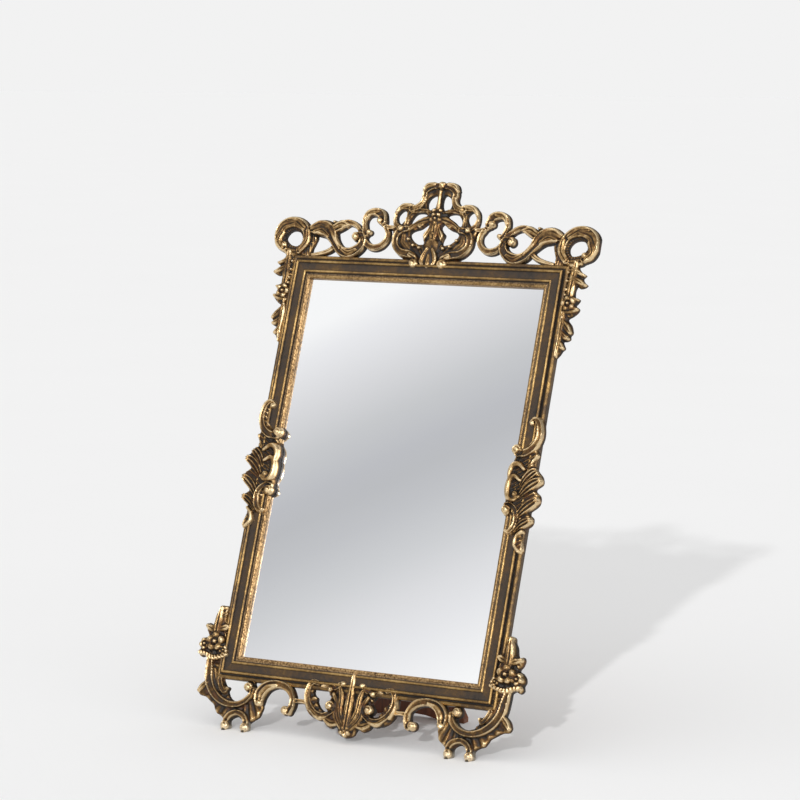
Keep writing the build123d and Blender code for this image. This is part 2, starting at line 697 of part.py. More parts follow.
# Palmette at the middle of the apron: its left half outline and hole, mirrored
with BuildPart() as palmette:
    with BuildSketch(face(apron_back)):
        with BuildLine():
            straight((-33, -198.5), (-23, -198), (-18, -198.5), (-16.5, -193.5), (-11.5, -191),
                     (-6.5, -192.8), (-3.6, -188), (0, -184.5), (0, -242.5))
            curved((-33, -198.5), (-37.5, -194), (-43.8, -195.2), (-47, -201))
            curved((-47, -201), (-47.6, -212), (-43, -222.8), (-34.5, -228.6), (-26, -228.6))
            curved((-26, -228.6), (-22.5, -233), (-16.5, -235.4), (-11, -233.6))
            curved((-11, -233.6), (-7, -240), (0, -242.5))
        make_face()
        with BuildLine():
            curved((-38.5, -200), (-39.2, -206), (-34.6, -210))
            curved((-34.6, -210), (-32.5, -216.5), (-26.5, -221.2), (-21.5, -220.6))
            straight((-21.5, -220.6), (-24.3, -216.5), (-23.2, -211.5), (-20.8, -208.5), (-24, -204),
                     (-25, -200), (-38.5, -200))
        make_face(mode=Mode.SUBTRACT)
        mirror(about=Plane.YZ)
    extrude(amount=apron_front - apron_back)
apron_middle = scribed(palmette.part)
finish(apron_middle, "apron_palmette")

side_scroll = scribed(apron_scroll.part, foot_scroll, apron_middle)
finish(side_scroll, "apron_scroll_left")
finish(mirrored(side_scroll), "apron_scroll_right")
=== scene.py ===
import bmesh
import bpy
import numpy as np
from math import radians, sin, cos, pi
from mathutils import Vector, Matrix

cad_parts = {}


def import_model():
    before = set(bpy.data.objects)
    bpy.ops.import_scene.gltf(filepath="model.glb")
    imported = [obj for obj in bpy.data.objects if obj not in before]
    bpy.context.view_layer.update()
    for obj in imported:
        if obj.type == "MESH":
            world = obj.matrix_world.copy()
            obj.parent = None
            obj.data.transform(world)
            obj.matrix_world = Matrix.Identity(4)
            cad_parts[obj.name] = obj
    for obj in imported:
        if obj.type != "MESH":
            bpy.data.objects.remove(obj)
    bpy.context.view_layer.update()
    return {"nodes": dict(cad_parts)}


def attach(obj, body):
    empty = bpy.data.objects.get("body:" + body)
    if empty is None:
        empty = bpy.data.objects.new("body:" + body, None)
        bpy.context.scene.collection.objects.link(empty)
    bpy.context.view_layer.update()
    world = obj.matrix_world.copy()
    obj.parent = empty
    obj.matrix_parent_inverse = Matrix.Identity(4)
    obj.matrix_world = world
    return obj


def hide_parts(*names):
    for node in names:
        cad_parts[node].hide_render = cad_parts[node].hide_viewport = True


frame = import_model()

# The leaning frame: across, up and depth from the middle of the glass in mm, as in the CAD source
LEAN = radians(20.75)
MIDDLE = (0.0, -3.302, 231.117)
SIGHT_WIDTH, SIGHT_HEIGHT = 243.0, 361.0
ABOVE_TABLE = 0.02

# Ornament grid: its pitch, how far out a carving may reach, and the planes of the carvings' backs
STEP = 0.5
REACH = 168.6
CREST_BACK, FRAME_BACK, ROCAILLE_BACK = -2.95, -1.5, 0.5


def world(across, up, depth):
    """Points of the leaning frame in world metres, never below the table."""
    across, up, depth = np.broadcast_arrays(across, up, depth)
    y = up * sin(LEAN) - depth * cos(LEAN) + MIDDLE[1]
    z = np.maximum(up * cos(LEAN) + depth * sin(LEAN) + MIDDLE[2], ABOVE_TABLE)
    return np.stack((across, y, z), -1) / 1000


def smooth(points, closed=False, cuts=6):
    """A Catmull-Rom run through a few points of any dimension."""
    p = np.array(points, float)
    if closed:
        p = np.vstack((p[-1:], p, p[:2]))
    else:
        p = np.vstack((2 * p[0] - p[1], p, 2 * p[-1] - p[-2]))
    t = np.arange(cuts)[:, None] / cuts
    run = []
    for a, b, c, d in zip(p, p[1:], p[2:], p[3:]):
        run.append(0.5 * (2 * b + (c - a) * t + (2 * a - 5 * b + 4 * c - d) * t ** 2
                          + (3 * b - a - 3 * c + d) * t ** 3))
    run = np.vstack(run)
    return run if closed else np.vstack((run, p[-2:-1]))


def spread(field, reach):
    """The mean of a field over a square window."""
    n = int(round(reach / STEP))
    padded = np.pad(field, n, mode="edge")
    for axis in (0, 1):
        total = np.cumsum(np.insert(padded, 0, 0, axis=axis), axis=axis)
        size = padded.shape[axis]
        upper = np.take(total, np.arange(2 * n + 1, size + 1), axis=axis)
        lower = np.take(total, np.arange(0, size - 2 * n), axis=axis)
        padded = (upper - lower) / (2 * n + 1)
    return padded


def ease(value, low, high):
    t = np.clip((value - low) / (high - low), 0, 1)
    return t * t * (3 - 2 * t)


def turning(run):
    """Which way a centreline curls: 1 to the left, -1 to the right."""
    way = np.diff(run[:, :2], axis=0)
    bend = way[:-1, 0] * way[1:, 1] - way[:-1, 1] * way[1:, 0]
    return -1.0 if bend.sum() > 0 else 1.0


class Relief:
    """A carving drawn as a height over the leaning frame, then turned into a closed mesh."""

    def __init__(self, left, right, bottom, top, back):
        across = np.arange(left, right + STEP, STEP)
        up = np.arange(bottom, top + STEP, STEP)
        self.u, self.v = np.meshgrid(across, up, indexing="ij")
        self.rim = np.full(self.u.shape, -9.0)
        self.height = np.full(self.u.shape, back + 0.4)
        self.back = back
        self.swell = 1.0

    def inside(self, points):
        """Distance inside a closed outline, negative outside."""
        run = smooth(points, closed=True, cuts=4)
        near = np.full(self.u.shape, 1e9)
        within = np.zeros(self.u.shape, bool)
        for a, b in zip(run, np.roll(run, -1, axis=0)):
            way = b - a
            du, dv = self.u - a[0], self.v - a[1]
            t = np.clip((du * way[0] + dv * way[1]) / max(way @ way, 1e-9), 0, 1)
            near = np.minimum(near, (du - t * way[0]) ** 2 + (dv - t * way[1]) ** 2)
            if a[1] != b[1]:
                crossed = (a[1] > self.v) != (b[1] > self.v)
                within ^= crossed & (self.u < a[0] + (self.v - a[1]) * way[0] / way[1])
        return np.where(within, 1, -1) * np.sqrt(near)

    def raise_to(self, height, where):
        self.height = np.where(where, np.maximum(self.height, height), self.height)

    def web(self, points, height, ribs, depth=0.7):
        """A low ground inside an outline, with parallel or fanned ribs."""
        d = self.inside(points)
        self.rim = np.maximum(self.rim, d)
        level = height - 0.9 * (1 - ease(d, 0, 2.0))
        level = level + depth * np.sin(ribs(self.u, self.v)) * ease(d, 0.2, 1.6)
        self.raise_to(level, d > -0.8)

    def hole(self, points):
        self.rim = np.minimum(self.rim, -self.inside(points))

    def stroke(self, stations, low, high, style="scroll", outline=True):
        """A carved band along a centreline of (across, up, half width)."""
        run = smooth(stations, cuts=5)
        run[:, 2] *= self.swell
        ratio = np.full(self.u.shape, 99.0)
        side = np.zeros(self.u.shape)
        room = np.full(self.u.shape, -99.0)
        along = np.zeros(self.u.shape)
        length = 0.0
        for a, b in zip(run, run[1:]):
            way = b[:2] - a[:2]
            size = max(np.hypot(*way), 1e-6)
            du, dv = self.u - a[0], self.v - a[1]
            t = np.clip((du * way[0] + dv * way[1]) / size ** 2, 0, 1)
            du, dv = du - t * way[0], dv - t * way[1]
            d = np.hypot(du, dv)
            half = a[2] + t * (b[2] - a[2])
            new = d / half < ratio
            ratio = np.where(new, d / half, ratio)
            room = np.where(new, half - d, room)
            side = np.where(new, (way[0] * dv - way[1] * du) / size / half, side)
            along = np.where(new, length + t * size, along)
            length += size
        if outline:
            self.rim = np.maximum(self.rim, room)
        fall = ease(1.06 - ratio, 0, 0.34)
        if style == "scroll":
            outer = 1 + 0.12 * np.tanh(3 * side) * turning(run)
            level = 0.5 + 0.5 * np.exp(-((ratio - 0.7) / 0.22) ** 2) * outer
            level = level + 0.1 * np.exp(-((ratio - 0.16) / 0.12) ** 2)
        elif style == "leaf":
            tip = along / max(length, 1e-6)
            level = 0.86 - 0.34 * np.exp(-(side / 0.13) ** 2)
            level = level - 0.16 * np.exp(-((abs(side) - 0.58) / 0.1) ** 2)
            level = level * (1 - 0.18 * ratio ** 2) - 0.12 * tip * (1 - tip)
        elif style == "shell":
            level = 0.56 + 0.26 * np.cos(side * pi * 3) - 0.12 * ratio ** 2
            level = level + 0.4 * np.exp(-(along / 1.7) ** 2)
        elif style == "rope":
            level = 0.8 + 0.2 * np.sin(along * 1.9 + side * 1.6)
        else:
            level = np.sqrt(np.clip(1.02 - ratio ** 2, 0, 1))
        self.raise_to(low + (high - low) * level * fall, ratio < 1.06)

    def ball(self, across, up, radius, low, high, outline=True, curl=0):
        """A volute eye, boss or bead with a groove round it, or with a curl a spiral cut into it."""
        d = np.hypot(self.u - across, self.v - up)
        if outline:
            self.rim = np.maximum(self.rim, radius - d)
        groove = np.exp(-((d - radius * 1.1) / (0.16 * radius + 0.12)) ** 2)
        self.height = self.height - 0.24 * radius * groove
        level = low + (high - low) * np.sqrt(np.clip(1 - (d / radius) ** 2, 0, 1))
        if curl:
            turned = np.arctan2(self.v - up, (self.u - across) * curl) / (2 * pi)
            wound = (1.5 * d / radius - turned) % 1.0
            level = level - 0.3 * radius * np.exp(-((wound - 0.5) / 0.16) ** 2) * ease(d / radius, 0.12, 0.4)
        self.raise_to(level, d < radius)

    def flower(self, across, up, radius, petals, low, high, turn=0.0, outline=True):
        """A round flower: cupped petals about a domed middle."""
        du, dv = self.u - across, self.v - up
        d = np.hypot(du, dv)
        lobe = abs(np.cos((np.arctan2(dv, du) + turn) * petals / 2))
        reach = radius * (0.8 + 0.2 * lobe)
        if outline:
            self.rim = np.maximum(self.rim, reach - d)
        t = d / reach
        petal = (0.45 + 0.42 * np.sin(np.clip(t, 0, 1) * pi * 0.85)) * (0.62 + 0.38 * lobe)
        core = np.sqrt(np.clip(1 - (t / 0.3) ** 2, 0, 1))
        level = np.maximum(petal * ease(1.04 - t, 0, 0.2), core) - 0.35 * np.exp(-((t - 0.36) / 0.07) ** 2)
        self.raise_to(low + (high - low) * level, t < 1.04)

    def mesh(self, name, replaced, flip=False, rounding=1.5, edge_drop=1.7, wall=0.0):
        """The closed mesh: carved front, walls down to the back plane and a flat back."""
        height = 0.5 * self.height + 0.5 * spread(self.height, STEP)
        dip = np.sqrt(np.clip(1 - (1 - np.clip(self.rim / rounding, 0, 1)) ** 2, 0, 1))
        height = np.maximum(height - edge_drop * (1 - dip), self.back + 0.5)
        # The relief value is the height against its surroundings. Hollows and the dropped rims come out
        # darker, partly as patina and partly as painted shade, and wall lightens the rims again.
        relief = 0.5 + 0.28 * (height - spread(height, 2.0)) + 0.1 * (height - spread(height, 5.0))
        relief = relief + wall * (1 - dip)
        gu, gv = np.gradient(self.rim, STEP)
        steep = np.maximum(gu ** 2 + gv ** 2, 0.35)
        outside = self.rim <= 0
        shift = np.where(outside, np.clip(self.rim, -STEP * 1.5, 0), 0) / steep
        u = np.clip(self.u - shift * gu, -REACH, REACH)
        v = self.v - shift * gv
        filled = ~outside
        cell = filled[:-1, :-1] | filled[1:, :-1] | filled[1:, 1:] | filled[:-1, 1:]
        index = np.arange(self.u.size).reshape(self.u.shape)
        quads = np.stack((index[:-1, :-1], index[1:, :-1], index[1:, 1:], index[:-1, 1:]), -1)[cell]
        front = world(u, v, height).reshape(-1, 3)
        rear = world(u, v, np.full(u.shape, self.back)).reshape(-1, 3)
        ends = np.concatenate([quads[:, [k, (k + 1) % 4]] for k in range(4)])
        keys = np.sort(ends, 1) @ np.array((self.u.size, 1))
        _, first, count = np.unique(keys, return_index=True, return_counts=True)
        border = ends[first[count == 1]]
        total = self.u.size
        walls = np.stack((border[:, 1], border[:, 0], border[:, 0] + total, border[:, 1] + total), -1)
        faces = np.concatenate((quads, quads[:, ::-1] + total, walls))
        points = np.concatenate((front, rear))
        used, compact = np.unique(faces, return_inverse=True)
        points = points[used]
        faces = compact.reshape(-1, 4)
        shade = np.concatenate((relief.ravel(), np.full(total, 0.4)))[used]
        bare = np.zeros(len(points))
        objects = [solid(name, replaced, points, faces, shade, bare, gilt)]
        if flip:
            objects.append(solid(name.replace("left", "right"), replaced.replace("left", "right"),
                                 points * (-1, 1, 1), faces[:, ::-1], shade, bare, gilt))
        return objects


def solid(name, node, points, faces, shade, tone, material, body="mirror"):
    """A mesh object that rides on a body and stands for a CAD node."""
    data = bpy.data.meshes.new(name)
    data.vertices.add(len(points))
    data.vertices.foreach_set("co", np.asarray(points, np.float32).ravel())
    data.loops.add(faces.size)
    data.loops.foreach_set("vertex_index", faces.ravel().astype(np.int32))
    data.polygons.add(len(faces))
    data.polygons.foreach_set("loop_start", np.arange(0, faces.size, faces.shape[1], dtype=np.int32))
    data.update(calc_edges=True)
    data.validate()
    data.polygons.foreach_set("use_smooth", np.full(len(data.polygons), True))
    for key, values in (("relief", shade), ("tone", tone)):
        layer = data.attributes.new(key, "FLOAT", "POINT")
        layer.data.foreach_set("value", np.asarray(values, np.float32))
    obj = bpy.data.objects.new(name, data)
    bpy.context.collection.objects.link(obj)
    data.materials.append(material)
    keep_corners(obj, 50)
    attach(obj, body)
    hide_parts(node)
    return obj


def keep_corners(obj, degrees):
    """Marks edges sharper than an angle so that smooth shading stops at them."""
    bm = bmesh.new()
    bm.from_mesh(obj.data)
    for edge in bm.edges:
        if len(edge.link_faces) == 2 and edge.calc_face_angle(0) > radians(degrees):
            edge.smooth = False
    bm.to_mesh(obj.data)
    bm.free()


# Materials
class Nodes:
    """A short way to write the node tree of a material or the world."""

    def __init__(self, owner, output="ShaderNodeOutputMaterial"):
        owner.use_nodes = True
        self.owner = owner
        self.tree = owner.node_tree
        self.tree.nodes.clear()
        self.out = self.add(output)

    def feed(self, socket, value):
        if isinstance(value, bpy.types.NodeSocket):
            self.tree.links.new(value, socket)
        else:
            socket.default_value = value

    def add(self, kind, inputs=None, **settings):
        node = self.tree.nodes.new(kind)
        for key, value in settings.items():
            setattr(node, key, value)
        for key, value in (inputs or {}).items():
            self.feed(node.inputs[key], value)
        return node

    def maths(self, how, a, b=0.0, c=0.0):
        node = self.add("ShaderNodeMath", operation=how)
        for socket, value in zip(node.inputs, (a, b, c)):
            self.feed(socket, value)
        return node.outputs[0]

    def ramp(self, value, *stops):
        node = self.add("ShaderNodeValToRGB", {"Fac": value})
        band = node.color_ramp
        while len(band.elements) < len(stops):
            band.elements.new(0.5)
        for element, (place, colour) in zip(band.elements, stops):
            element.position = place
            element.color = tint(*colour) if isinstance(colour, tuple) else (colour, colour, colour, 1)
        return node.outputs["Color"]

    def mix(self, share, a, b):
        return self.add("ShaderNodeMix", {"Factor": share, 6: a, 7: b}, data_type="RGBA").outputs[2]

    def place(self):
        return self.add("ShaderNodeTexCoord").outputs["Object"]

    def attribute(self, name):
        return self.add("ShaderNodeAttribute", attribute_name=name).outputs["Fac"]

    def noise(self, scale, detail=4.0, stretch=None, rough=0.55, twist=0.0):
        """Noise in the object's own metres, stretched along the leaning boards where asked."""
        place = self.place()
        if stretch:
            place = self.add("ShaderNodeMapping", {"Vector": place, "Scale": stretch[0],
                                                   "Rotation": stretch[1]}).outputs[0]
        return self.add("ShaderNodeTexNoise", {"Vector": place, "Scale": scale, "Detail": detail,
                                               "Roughness": rough, "Distortion": twist}).outputs["Fac"]

    def worn(self, base, *layers):
        """A value pushed up and down by layers of (noise, amount)."""
        for layer, amount in layers:
            base = self.maths("MULTIPLY_ADD", self.maths("SUBTRACT", layer, 0.5), amount, base)
        return base

    def bump(self, height, distance, strength):
        return self.add("ShaderNodeBump", {"Height": height, "Distance": distance,
                                           "Strength": strength}).outputs["Normal"]

    def surface(self, shader):
        self.tree.links.new(shader.outputs[0], self.out.inputs["Surface"])
        return self.owner

    def finish(self, **inputs):
        names = {key.replace("_", " "): value for key, value in inputs.items()}
        return self.surface(self.add("ShaderNodeBsdfPrincipled", names))


def painted(name):
    return Nodes(bpy.data.materials.new(name))


def tint(red, green, blue):
    """A colour given as it looks on screen, 0 to 255."""
    linear = [((c / 255 + 0.055) / 1.055) ** 2.4 if c > 10 else c / 255 / 12.92 for c in (red, green, blue)]
    return (*linear, 1.0)


def giltwood():
    """Worn leaf over dark patina: gold on what stands proud, brown in what lies low, where the brown is partly
    patina and partly painted shade.
    """
    n = painted("worn gilding")
    relief = n.attribute("relief")
    tone = n.attribute("tone")
    broad = n.noise(55, 3)
    patch = n.noise(190, 5, rough=0.6)
    fine = n.noise(900, 3)
    # Painted shade rides in with the relief value, making hollows and rims darker, beside the wear patches of
    # the noise.
    wear_and_shade = n.worn(relief, (patch, 0.75), (broad, 0.55), (fine, 0.3))
    colour = n.ramp(wear_and_shade, (0.22, (27, 20, 13)), (0.42, (62, 46, 29)), (0.58, (104, 79, 49)),
                    (0.78, (160, 128, 82)), (1.0, (226, 200, 156)))
    red = n.ramp(n.noise(120, 4, rough=0.65), (0.52, 0.0), (0.7, 1.0))
    colour = n.mix(n.maths("MULTIPLY", red, 0.35), colour, tint(128, 76, 38))
    colour = n.mix(tone, colour, tint(236, 226, 204))
    metal = n.maths("MULTIPLY", n.ramp(wear_and_shade, (0.28, 0.15), (0.5, 0.85)), n.maths("SUBTRACT", 1.0, tone))
    rough = n.ramp(wear_and_shade, (0.3, 0.55), (0.7, 0.3))
    height = n.maths("MULTIPLY_ADD", fine, 0.35, patch)
    return n.finish(Base_Color=colour, Metallic=metal, Roughness=rough, Normal=n.bump(height, 0.0006, 0.5))


def moulding_finish():
    """The moulding: a dark rubbed band, gilt beads and a speckled lip, told apart by two attributes, which
    also carry painted light: painted shade in the quirks, and a lip painted lighter on the left stile and
    bottom rail.
    """
    n = painted("moulding finish")
    relief = n.attribute("relief")
    lip = n.attribute("tone")
    broad = n.noise(28, 4, rough=0.6)
    patch = n.noise(240, 5, rough=0.65)
    fine = n.noise(1100, 3, rough=0.6)
    # Painted shade rides in with the relief value, darkest in the quirks.
    wear_and_shade = n.worn(relief, (patch, 0.5), (broad, 0.35), (fine, 0.28))
    gold = n.ramp(wear_and_shade, (0.08, (25, 19, 14)), (0.28, (64, 50, 36)), (0.44, (92, 71, 47)),
                  (0.64, (156, 124, 74)), (0.88, (214, 182, 124)))
    speckle = n.noise(620, 4, rough=0.7)
    bare = n.ramp(n.maths("MULTIPLY_ADD", broad, 0.25, speckle), (0.5, (70, 52, 34)), (0.6, (142, 110, 70)),
                  (0.74, (198, 164, 116)))
    colour = n.mix(lip, gold, bare)
    metal = n.ramp(wear_and_shade, (0.2, 0.2), (0.5, 0.8))
    rough = n.ramp(wear_and_shade, (0.25, 0.5), (0.7, 0.32))
    height = n.maths("MULTIPLY_ADD", fine, 0.5, patch)
    return n.finish(Base_Color=colour, Metallic=metal, Roughness=rough, Normal=n.bump(height, 0.0004, 0.5))


def wood(name, dark, light, gloss):
    """Wood with its grain up the leaning board."""
    n = painted(name)
    along = (LEAN, 0, 0)
    grain = n.noise(170, 6, stretch=((1.0, 1.0, 0.045), along), rough=0.62, twist=0.6)
    pores = n.noise(900, 3, stretch=((1.0, 1.0, 0.05), along))
    broad = n.noise(16, 3, stretch=((1.0, 1.0, 0.25), along), twist=1.2)
    mixed = n.maths("MULTIPLY_ADD", broad, 0.6, n.maths("MULTIPLY", grain, 0.55))
    middle = tuple(int((a + b) / 2) for a, b in zip(dark, light))
    colour = n.ramp(mixed, (0.36, dark), (0.56, middle), (0.74, light))
    flecks = n.ramp(pores, (0.34, 0.45), (0.46, 0.0))
    colour = n.mix(flecks, colour, tint(*[int(c * 0.4) for c in dark]))
    rough = n.ramp(grain, (0.3, gloss + 0.12), (0.7, gloss))
    height = n.maths("MULTIPLY_ADD", pores, 0.5, grain)
    return n.finish(Base_Color=colour, Roughness=rough, Normal=n.bump(height, 0.0004, 0.5))


def metal(name, clean, dull, rough=0.32):
    n = painted(name)
    patch = n.noise(160, 5, rough=0.6)
    fine = n.noise(1400, 3, stretch=((1.0, 0.1, 1.0), (0, 0, 0)))
    mixed = n.maths("MULTIPLY_ADD", fine, 0.3, n.maths("MULTIPLY", patch, 0.8))
    colour = n.ramp(mixed, (0.4, dull), (0.66, clean))
    shine = n.ramp(patch, (0.35, rough + 0.22), (0.65, rough))
    return n.finish(Base_Color=colour, Metallic=1.0, Roughness=shine, Normal=n.bump(fine, 0.0002, 0.35))


def silvered():
    """Old silvered glass: a clear reflection with the faintest haze and a few specks."""
    n = painted("silvered glass")
    haze = n.noise(30, 4)
    specks = n.ramp(n.noise(800, 2), (0.2, 1.0), (0.23, 0.0))
    colour = n.mix(n.maths("MULTIPLY", specks, 0.5), tint(250, 251, 252), tint(150, 148, 142))
    rough = n.ramp(haze, (0.3, 0.02), (0.7, 0.05))
    return n.finish(Base_Color=colour, Metallic=1.0, Roughness=rough)


def felted():
    n = painted("felt")
    fibre = n.noise(1500, 4, rough=0.7)
    colour = n.ramp(fibre, (0.35, (60, 58, 52)), (0.65, (98, 94, 84)))
    return n.finish(Base_Color=colour, Roughness=0.95, Normal=n.bump(fibre, 0.0004, 0.8))


gilt = giltwood()
mould = moulding_finish()
mahogany = wood("mahogany", (72, 36, 16), (140, 78, 38), 0.36)
pine = wood("stained pine", (78, 50, 26), (142, 100, 58), 0.5)
brass = metal("brass", (196, 160, 84), (124, 92, 42))
iron = metal("iron", (112, 106, 100), (62, 52, 46), 0.45)
glass = silvered()
felt = felted()

# Ornament, left hand: centrelines and outlines in mm from the middle of the glass


def fan(across, up, count):
    return lambda u, v: count * np.arctan2(v - up, u - across)


def slanted(angle, pitch):
    return lambda u, v: 2 * pi * (u * cos(radians(angle)) + v * sin(radians(angle))) / pitch


# Crest wing
r = Relief(-172, -40, 197, 256, CREST_BACK)
r.swell = 1.14
r.web([(-131, 226), (-123.5, 222), (-124.3, 216), (-126.5, 210), (-127.5, 202), (-136, 201), (-134, 215)],
      1.8, slanted(8, 2.6))
r.web([(-153, 239.7), (-162.5, 236), (-168, 228.5), (-168.8, 220), (-165.3, 211), (-158, 205.6), (-150, 202),
       (-136, 200), (-130.3, 211), (-129.8, 222), (-134, 232), (-143.5, 239)], 2.2, fan(-148, 220, 26), 0.5)
r.hole([(-157.4, 219.5), (-154.4, 225), (-149.2, 227), (-142.9, 225.2), (-139.2, 220), (-140.0, 214.8),
        (-144.0, 211.8), (-150.2, 212.8), (-154.8, 215.6)])
r.stroke([(-139, 206.8, 3.4), (-134.2, 213.5, 3.6), (-133.6, 221.5, 3.6), (-137, 229, 4.2),
          (-145, 234, 5.3), (-154.5, 234.2, 5.5), (-161.8, 229, 5.4), (-164.2, 221, 4.6),
          (-162, 213, 4.2), (-156.5, 209.4, 3.8)], 1.2, 5.4)
r.stroke([(-139, 206, 2.4), (-146, 205, 3.4), (-153, 206.5, 3.2)], 1.0, 4.6, "leaf")
r.ball(-156.6, 212.2, 3.5, 2, 6.4, curl=1)
for leaf in ([(-139, 229.5, 3.0), (-147, 235, 3.6), (-156, 236.4, 2.6)],
             [(-150, 233.5, 3.2), (-160, 230, 3.8), (-165.6, 221.5, 2.4)],
             [(-160.5, 224, 3.0), (-163.6, 215, 3.2), (-158.5, 208.8, 2.2)],
             [(-133, 226, 2.6), (-132.4, 216, 3.2), (-138, 207.4, 2.4)]):
    r.stroke(leaf, 2.4, 6.4, "leaf", False)
r.stroke([(-131.5, 228, 3.6), (-120, 230.3, 7.4), (-111, 227.5, 7), (-103.5, 217.5, 4.2), (-96, 209.3, 4.4),
          (-86.5, 206.6, 5.4), (-78, 210.3, 4.6), (-73.4, 216.5, 3.9), (-74.5, 223.5, 3.4), (-81, 224, 3.6)],
         0.6, 5.2)
r.stroke([(-129, 229, 1.6), (-119, 231.5, 2.6), (-110, 229, 2.4), (-103, 219, 1.6), (-96, 210.6, 1.4)],
         3.0, 5.4, "round", False)
r.ball(-81.2, 222.6, 4.4, 2, 6.8, curl=-1)
for leaf in ([(-129.5, 229.5, 2.4), (-121.5, 233.6, 3.6), (-113, 231.5, 2.4)],
             [(-126, 225.5, 2.2), (-118, 227.5, 3.2), (-111, 223, 2.2)],
             [(-105.5, 231, 2.6), (-98.5, 234.8, 3.6), (-91.5, 233, 2.2)],
             [(-93, 209.5, 2.0), (-86, 206.4, 2.8), (-79, 209.5, 1.8)]):
    r.stroke(leaf, 2.2, 6.2, "leaf", False)
r.stroke([(-104, 230.5, 4.4), (-98, 233.6, 4.2), (-91, 236.3, 2.9), (-84, 234.4, 2.5), (-77.5, 229, 2.4),
          (-74, 224, 2.4)], 0.8, 4.8)
r.ball(-107, 236.6, 1.9, 1.5, 4.4)
r.stroke([(-71, 225.5, 2.6), (-73.4, 231.8, 2.2), (-74.7, 238.5, 2.3), (-72, 245, 3), (-65.3, 247.6, 3.8),
          (-58.6, 245.5, 4.3), (-55.8, 238.6, 4)], 0.8, 5.0)
r.ball(-68.2, 227.6, 2.9, 2, 5.8, curl=1)
r.ball(-58.6, 239, 3.4, 2.4, 6.4, curl=1)
r.stroke([(-73.5, 240, 1.8), (-69.5, 246.6, 2.8), (-62, 248.2, 2.2)], 2.4, 6.0, "leaf", False)
r.stroke([(-51.5, 232.8, 2.2), (-48.4, 227.5, 2.2), (-48.8, 220.8, 2.5), (-53.2, 215.2, 2.8), (-60, 213, 3.1),
          (-67, 214.8, 3), (-71.5, 219.5, 2.4)], 0.6, 4.6)
r.stroke([(-55.8, 238.6, 2.4), (-53.5, 235, 2.2), (-48.5, 233.4, 2.0), (-43.5, 233.2, 2.0)], 0.4, 4.0)
r.stroke([(-101, 214, 2.6), (-108, 208.5, 2.4), (-116, 205.5, 2.2), (-125, 203.6, 2.0)], 0.4, 3.8, "leaf")
r.mesh("carved_wing_left", "crest_wing_left", flip=True)

# Crest cartouche, drawn whole
r = Relief(-46, 46, 190, 280, CREST_BACK)
r.swell = 1.08
side = [(0, 279), (-4, 277.6), (-8, 275.3), (-12.5, 274.9), (-17, 272.3), (-19, 267), (-18.9, 261.5),
        (-20.8, 257.5), (-25, 255.9), (-30, 256.9), (-36, 255.6), (-41, 250.8), (-43.9, 244),
        (-44.3, 237.5), (-44.5, 231), (-42.6, 223), (-39, 214.5), (-33, 206.5), (-27, 202.5),
        (-19.5, 200), (-16, 194.5), (-10, 196.5), (0, 193.8)]
whole = side + [(-x, y) for x, y in side[-2:0:-1]]
r.web(whole, 1.9, fan(0, 196, 40), 0.55)


def both(kind, *args, **more):
    """Draws a stroke or boss and its mirror image."""
    if kind == "stroke":
        r.stroke(args[0], *args[1:], **more)
        r.stroke([(-x, y, h) for x, y, h in args[0]], *args[1:], **more)
    elif kind == "hole":
        r.hole(args[0])
        r.hole([(-x, y) for x, y in args[0]])
    elif kind == "ball":
        r.ball(*args, **more)
        r.ball(-args[0], *args[1:], **more)


both("stroke", [(-4, 274.5, 3.2), (-10.5, 272.6, 3), (-15.8, 268, 2.9), (-15.9, 260.5, 2.9),
                (-19.5, 254, 3.2), (-27, 251.5, 3.6)], 0.8, 4.8)
both("stroke", [(-25, 252.5, 3.2), (-33, 253.6, 3.2), (-40.5, 250, 2.4), (-43, 243, 1.8), (-41.5, 236.5, 2.2),
                (-37, 233, 2.6)], 0.6, 4.6)
both("stroke", [(-25.5, 250.5, 3), (-30, 245, 2), (-30, 238.5, 1.8), (-31, 233.5, 2.5)], 0.6, 4.2)
both("stroke", [(-26, 249.5, 2.6), (-13, 250.2, 1.8), (0, 249.5, 3)], 0.6, 4.2)
both("stroke", [(-4, 242, 3.0), (-13, 240, 4.2), (-21, 236.5, 3.2), (-26.5, 232, 2.4)], 0.8, 5.0, "leaf")
both("stroke", [(-3, 237, 2.4), (-10, 233.8, 3.0), (-16.5, 235.4, 1.8)], 1.4, 5.2, "leaf")
both("stroke", [(-17.5, 270, 1.6), (-14, 274.2, 2.8), (-7.5, 275.8, 2.2)], 2.0, 5.8, "leaf")
both("stroke", [(-16, 262, 2.0), (-18.5, 256, 2.8), (-25, 252.4, 2.0)], 2.2, 5.6, "leaf")
both("stroke", [(-29, 255, 2.0), (-36.5, 253.6, 2.8), (-41.4, 247.5, 1.8)], 2.2, 5.4, "leaf")
both("stroke", [(-28, 232, 3), (-34.8, 230, 3.4), (-38.6, 223.5, 3.3), (-37.5, 215.5, 3.5), (-31, 209.3, 3.8),
                (-22.5, 207.6, 4), (-15.8, 204.5, 3.8), (-13.2, 199, 3.4)], 1.0, 5.4)
both("stroke", [(-31, 226, 2.4), (-30.5, 219, 3.2), (-25, 213.5, 3)], 1.2, 3.6, "leaf")
r.stroke([(0, 272, 2.4), (0, 262, 2.0), (0, 252, 3)], 0.8, 4.4, "round")
r.stroke([(0, 240, 3.0), (0, 233, 3.8), (0, 226, 4.2), (0, 220, 2.8)], 1.0, 6.0, "leaf")
both("stroke", [(-2.4, 239, 2.2), (-5, 232, 3.2), (-8.4, 225.6, 2.6), (-10, 221.6, 1.4)], 1.0, 5.4, "leaf")
r.stroke([(0, 217, 7.5), (0, 209, 7.6), (0, 202, 6.2), (0, 196, 4.4)], 1.0, 5.0, "round", False)
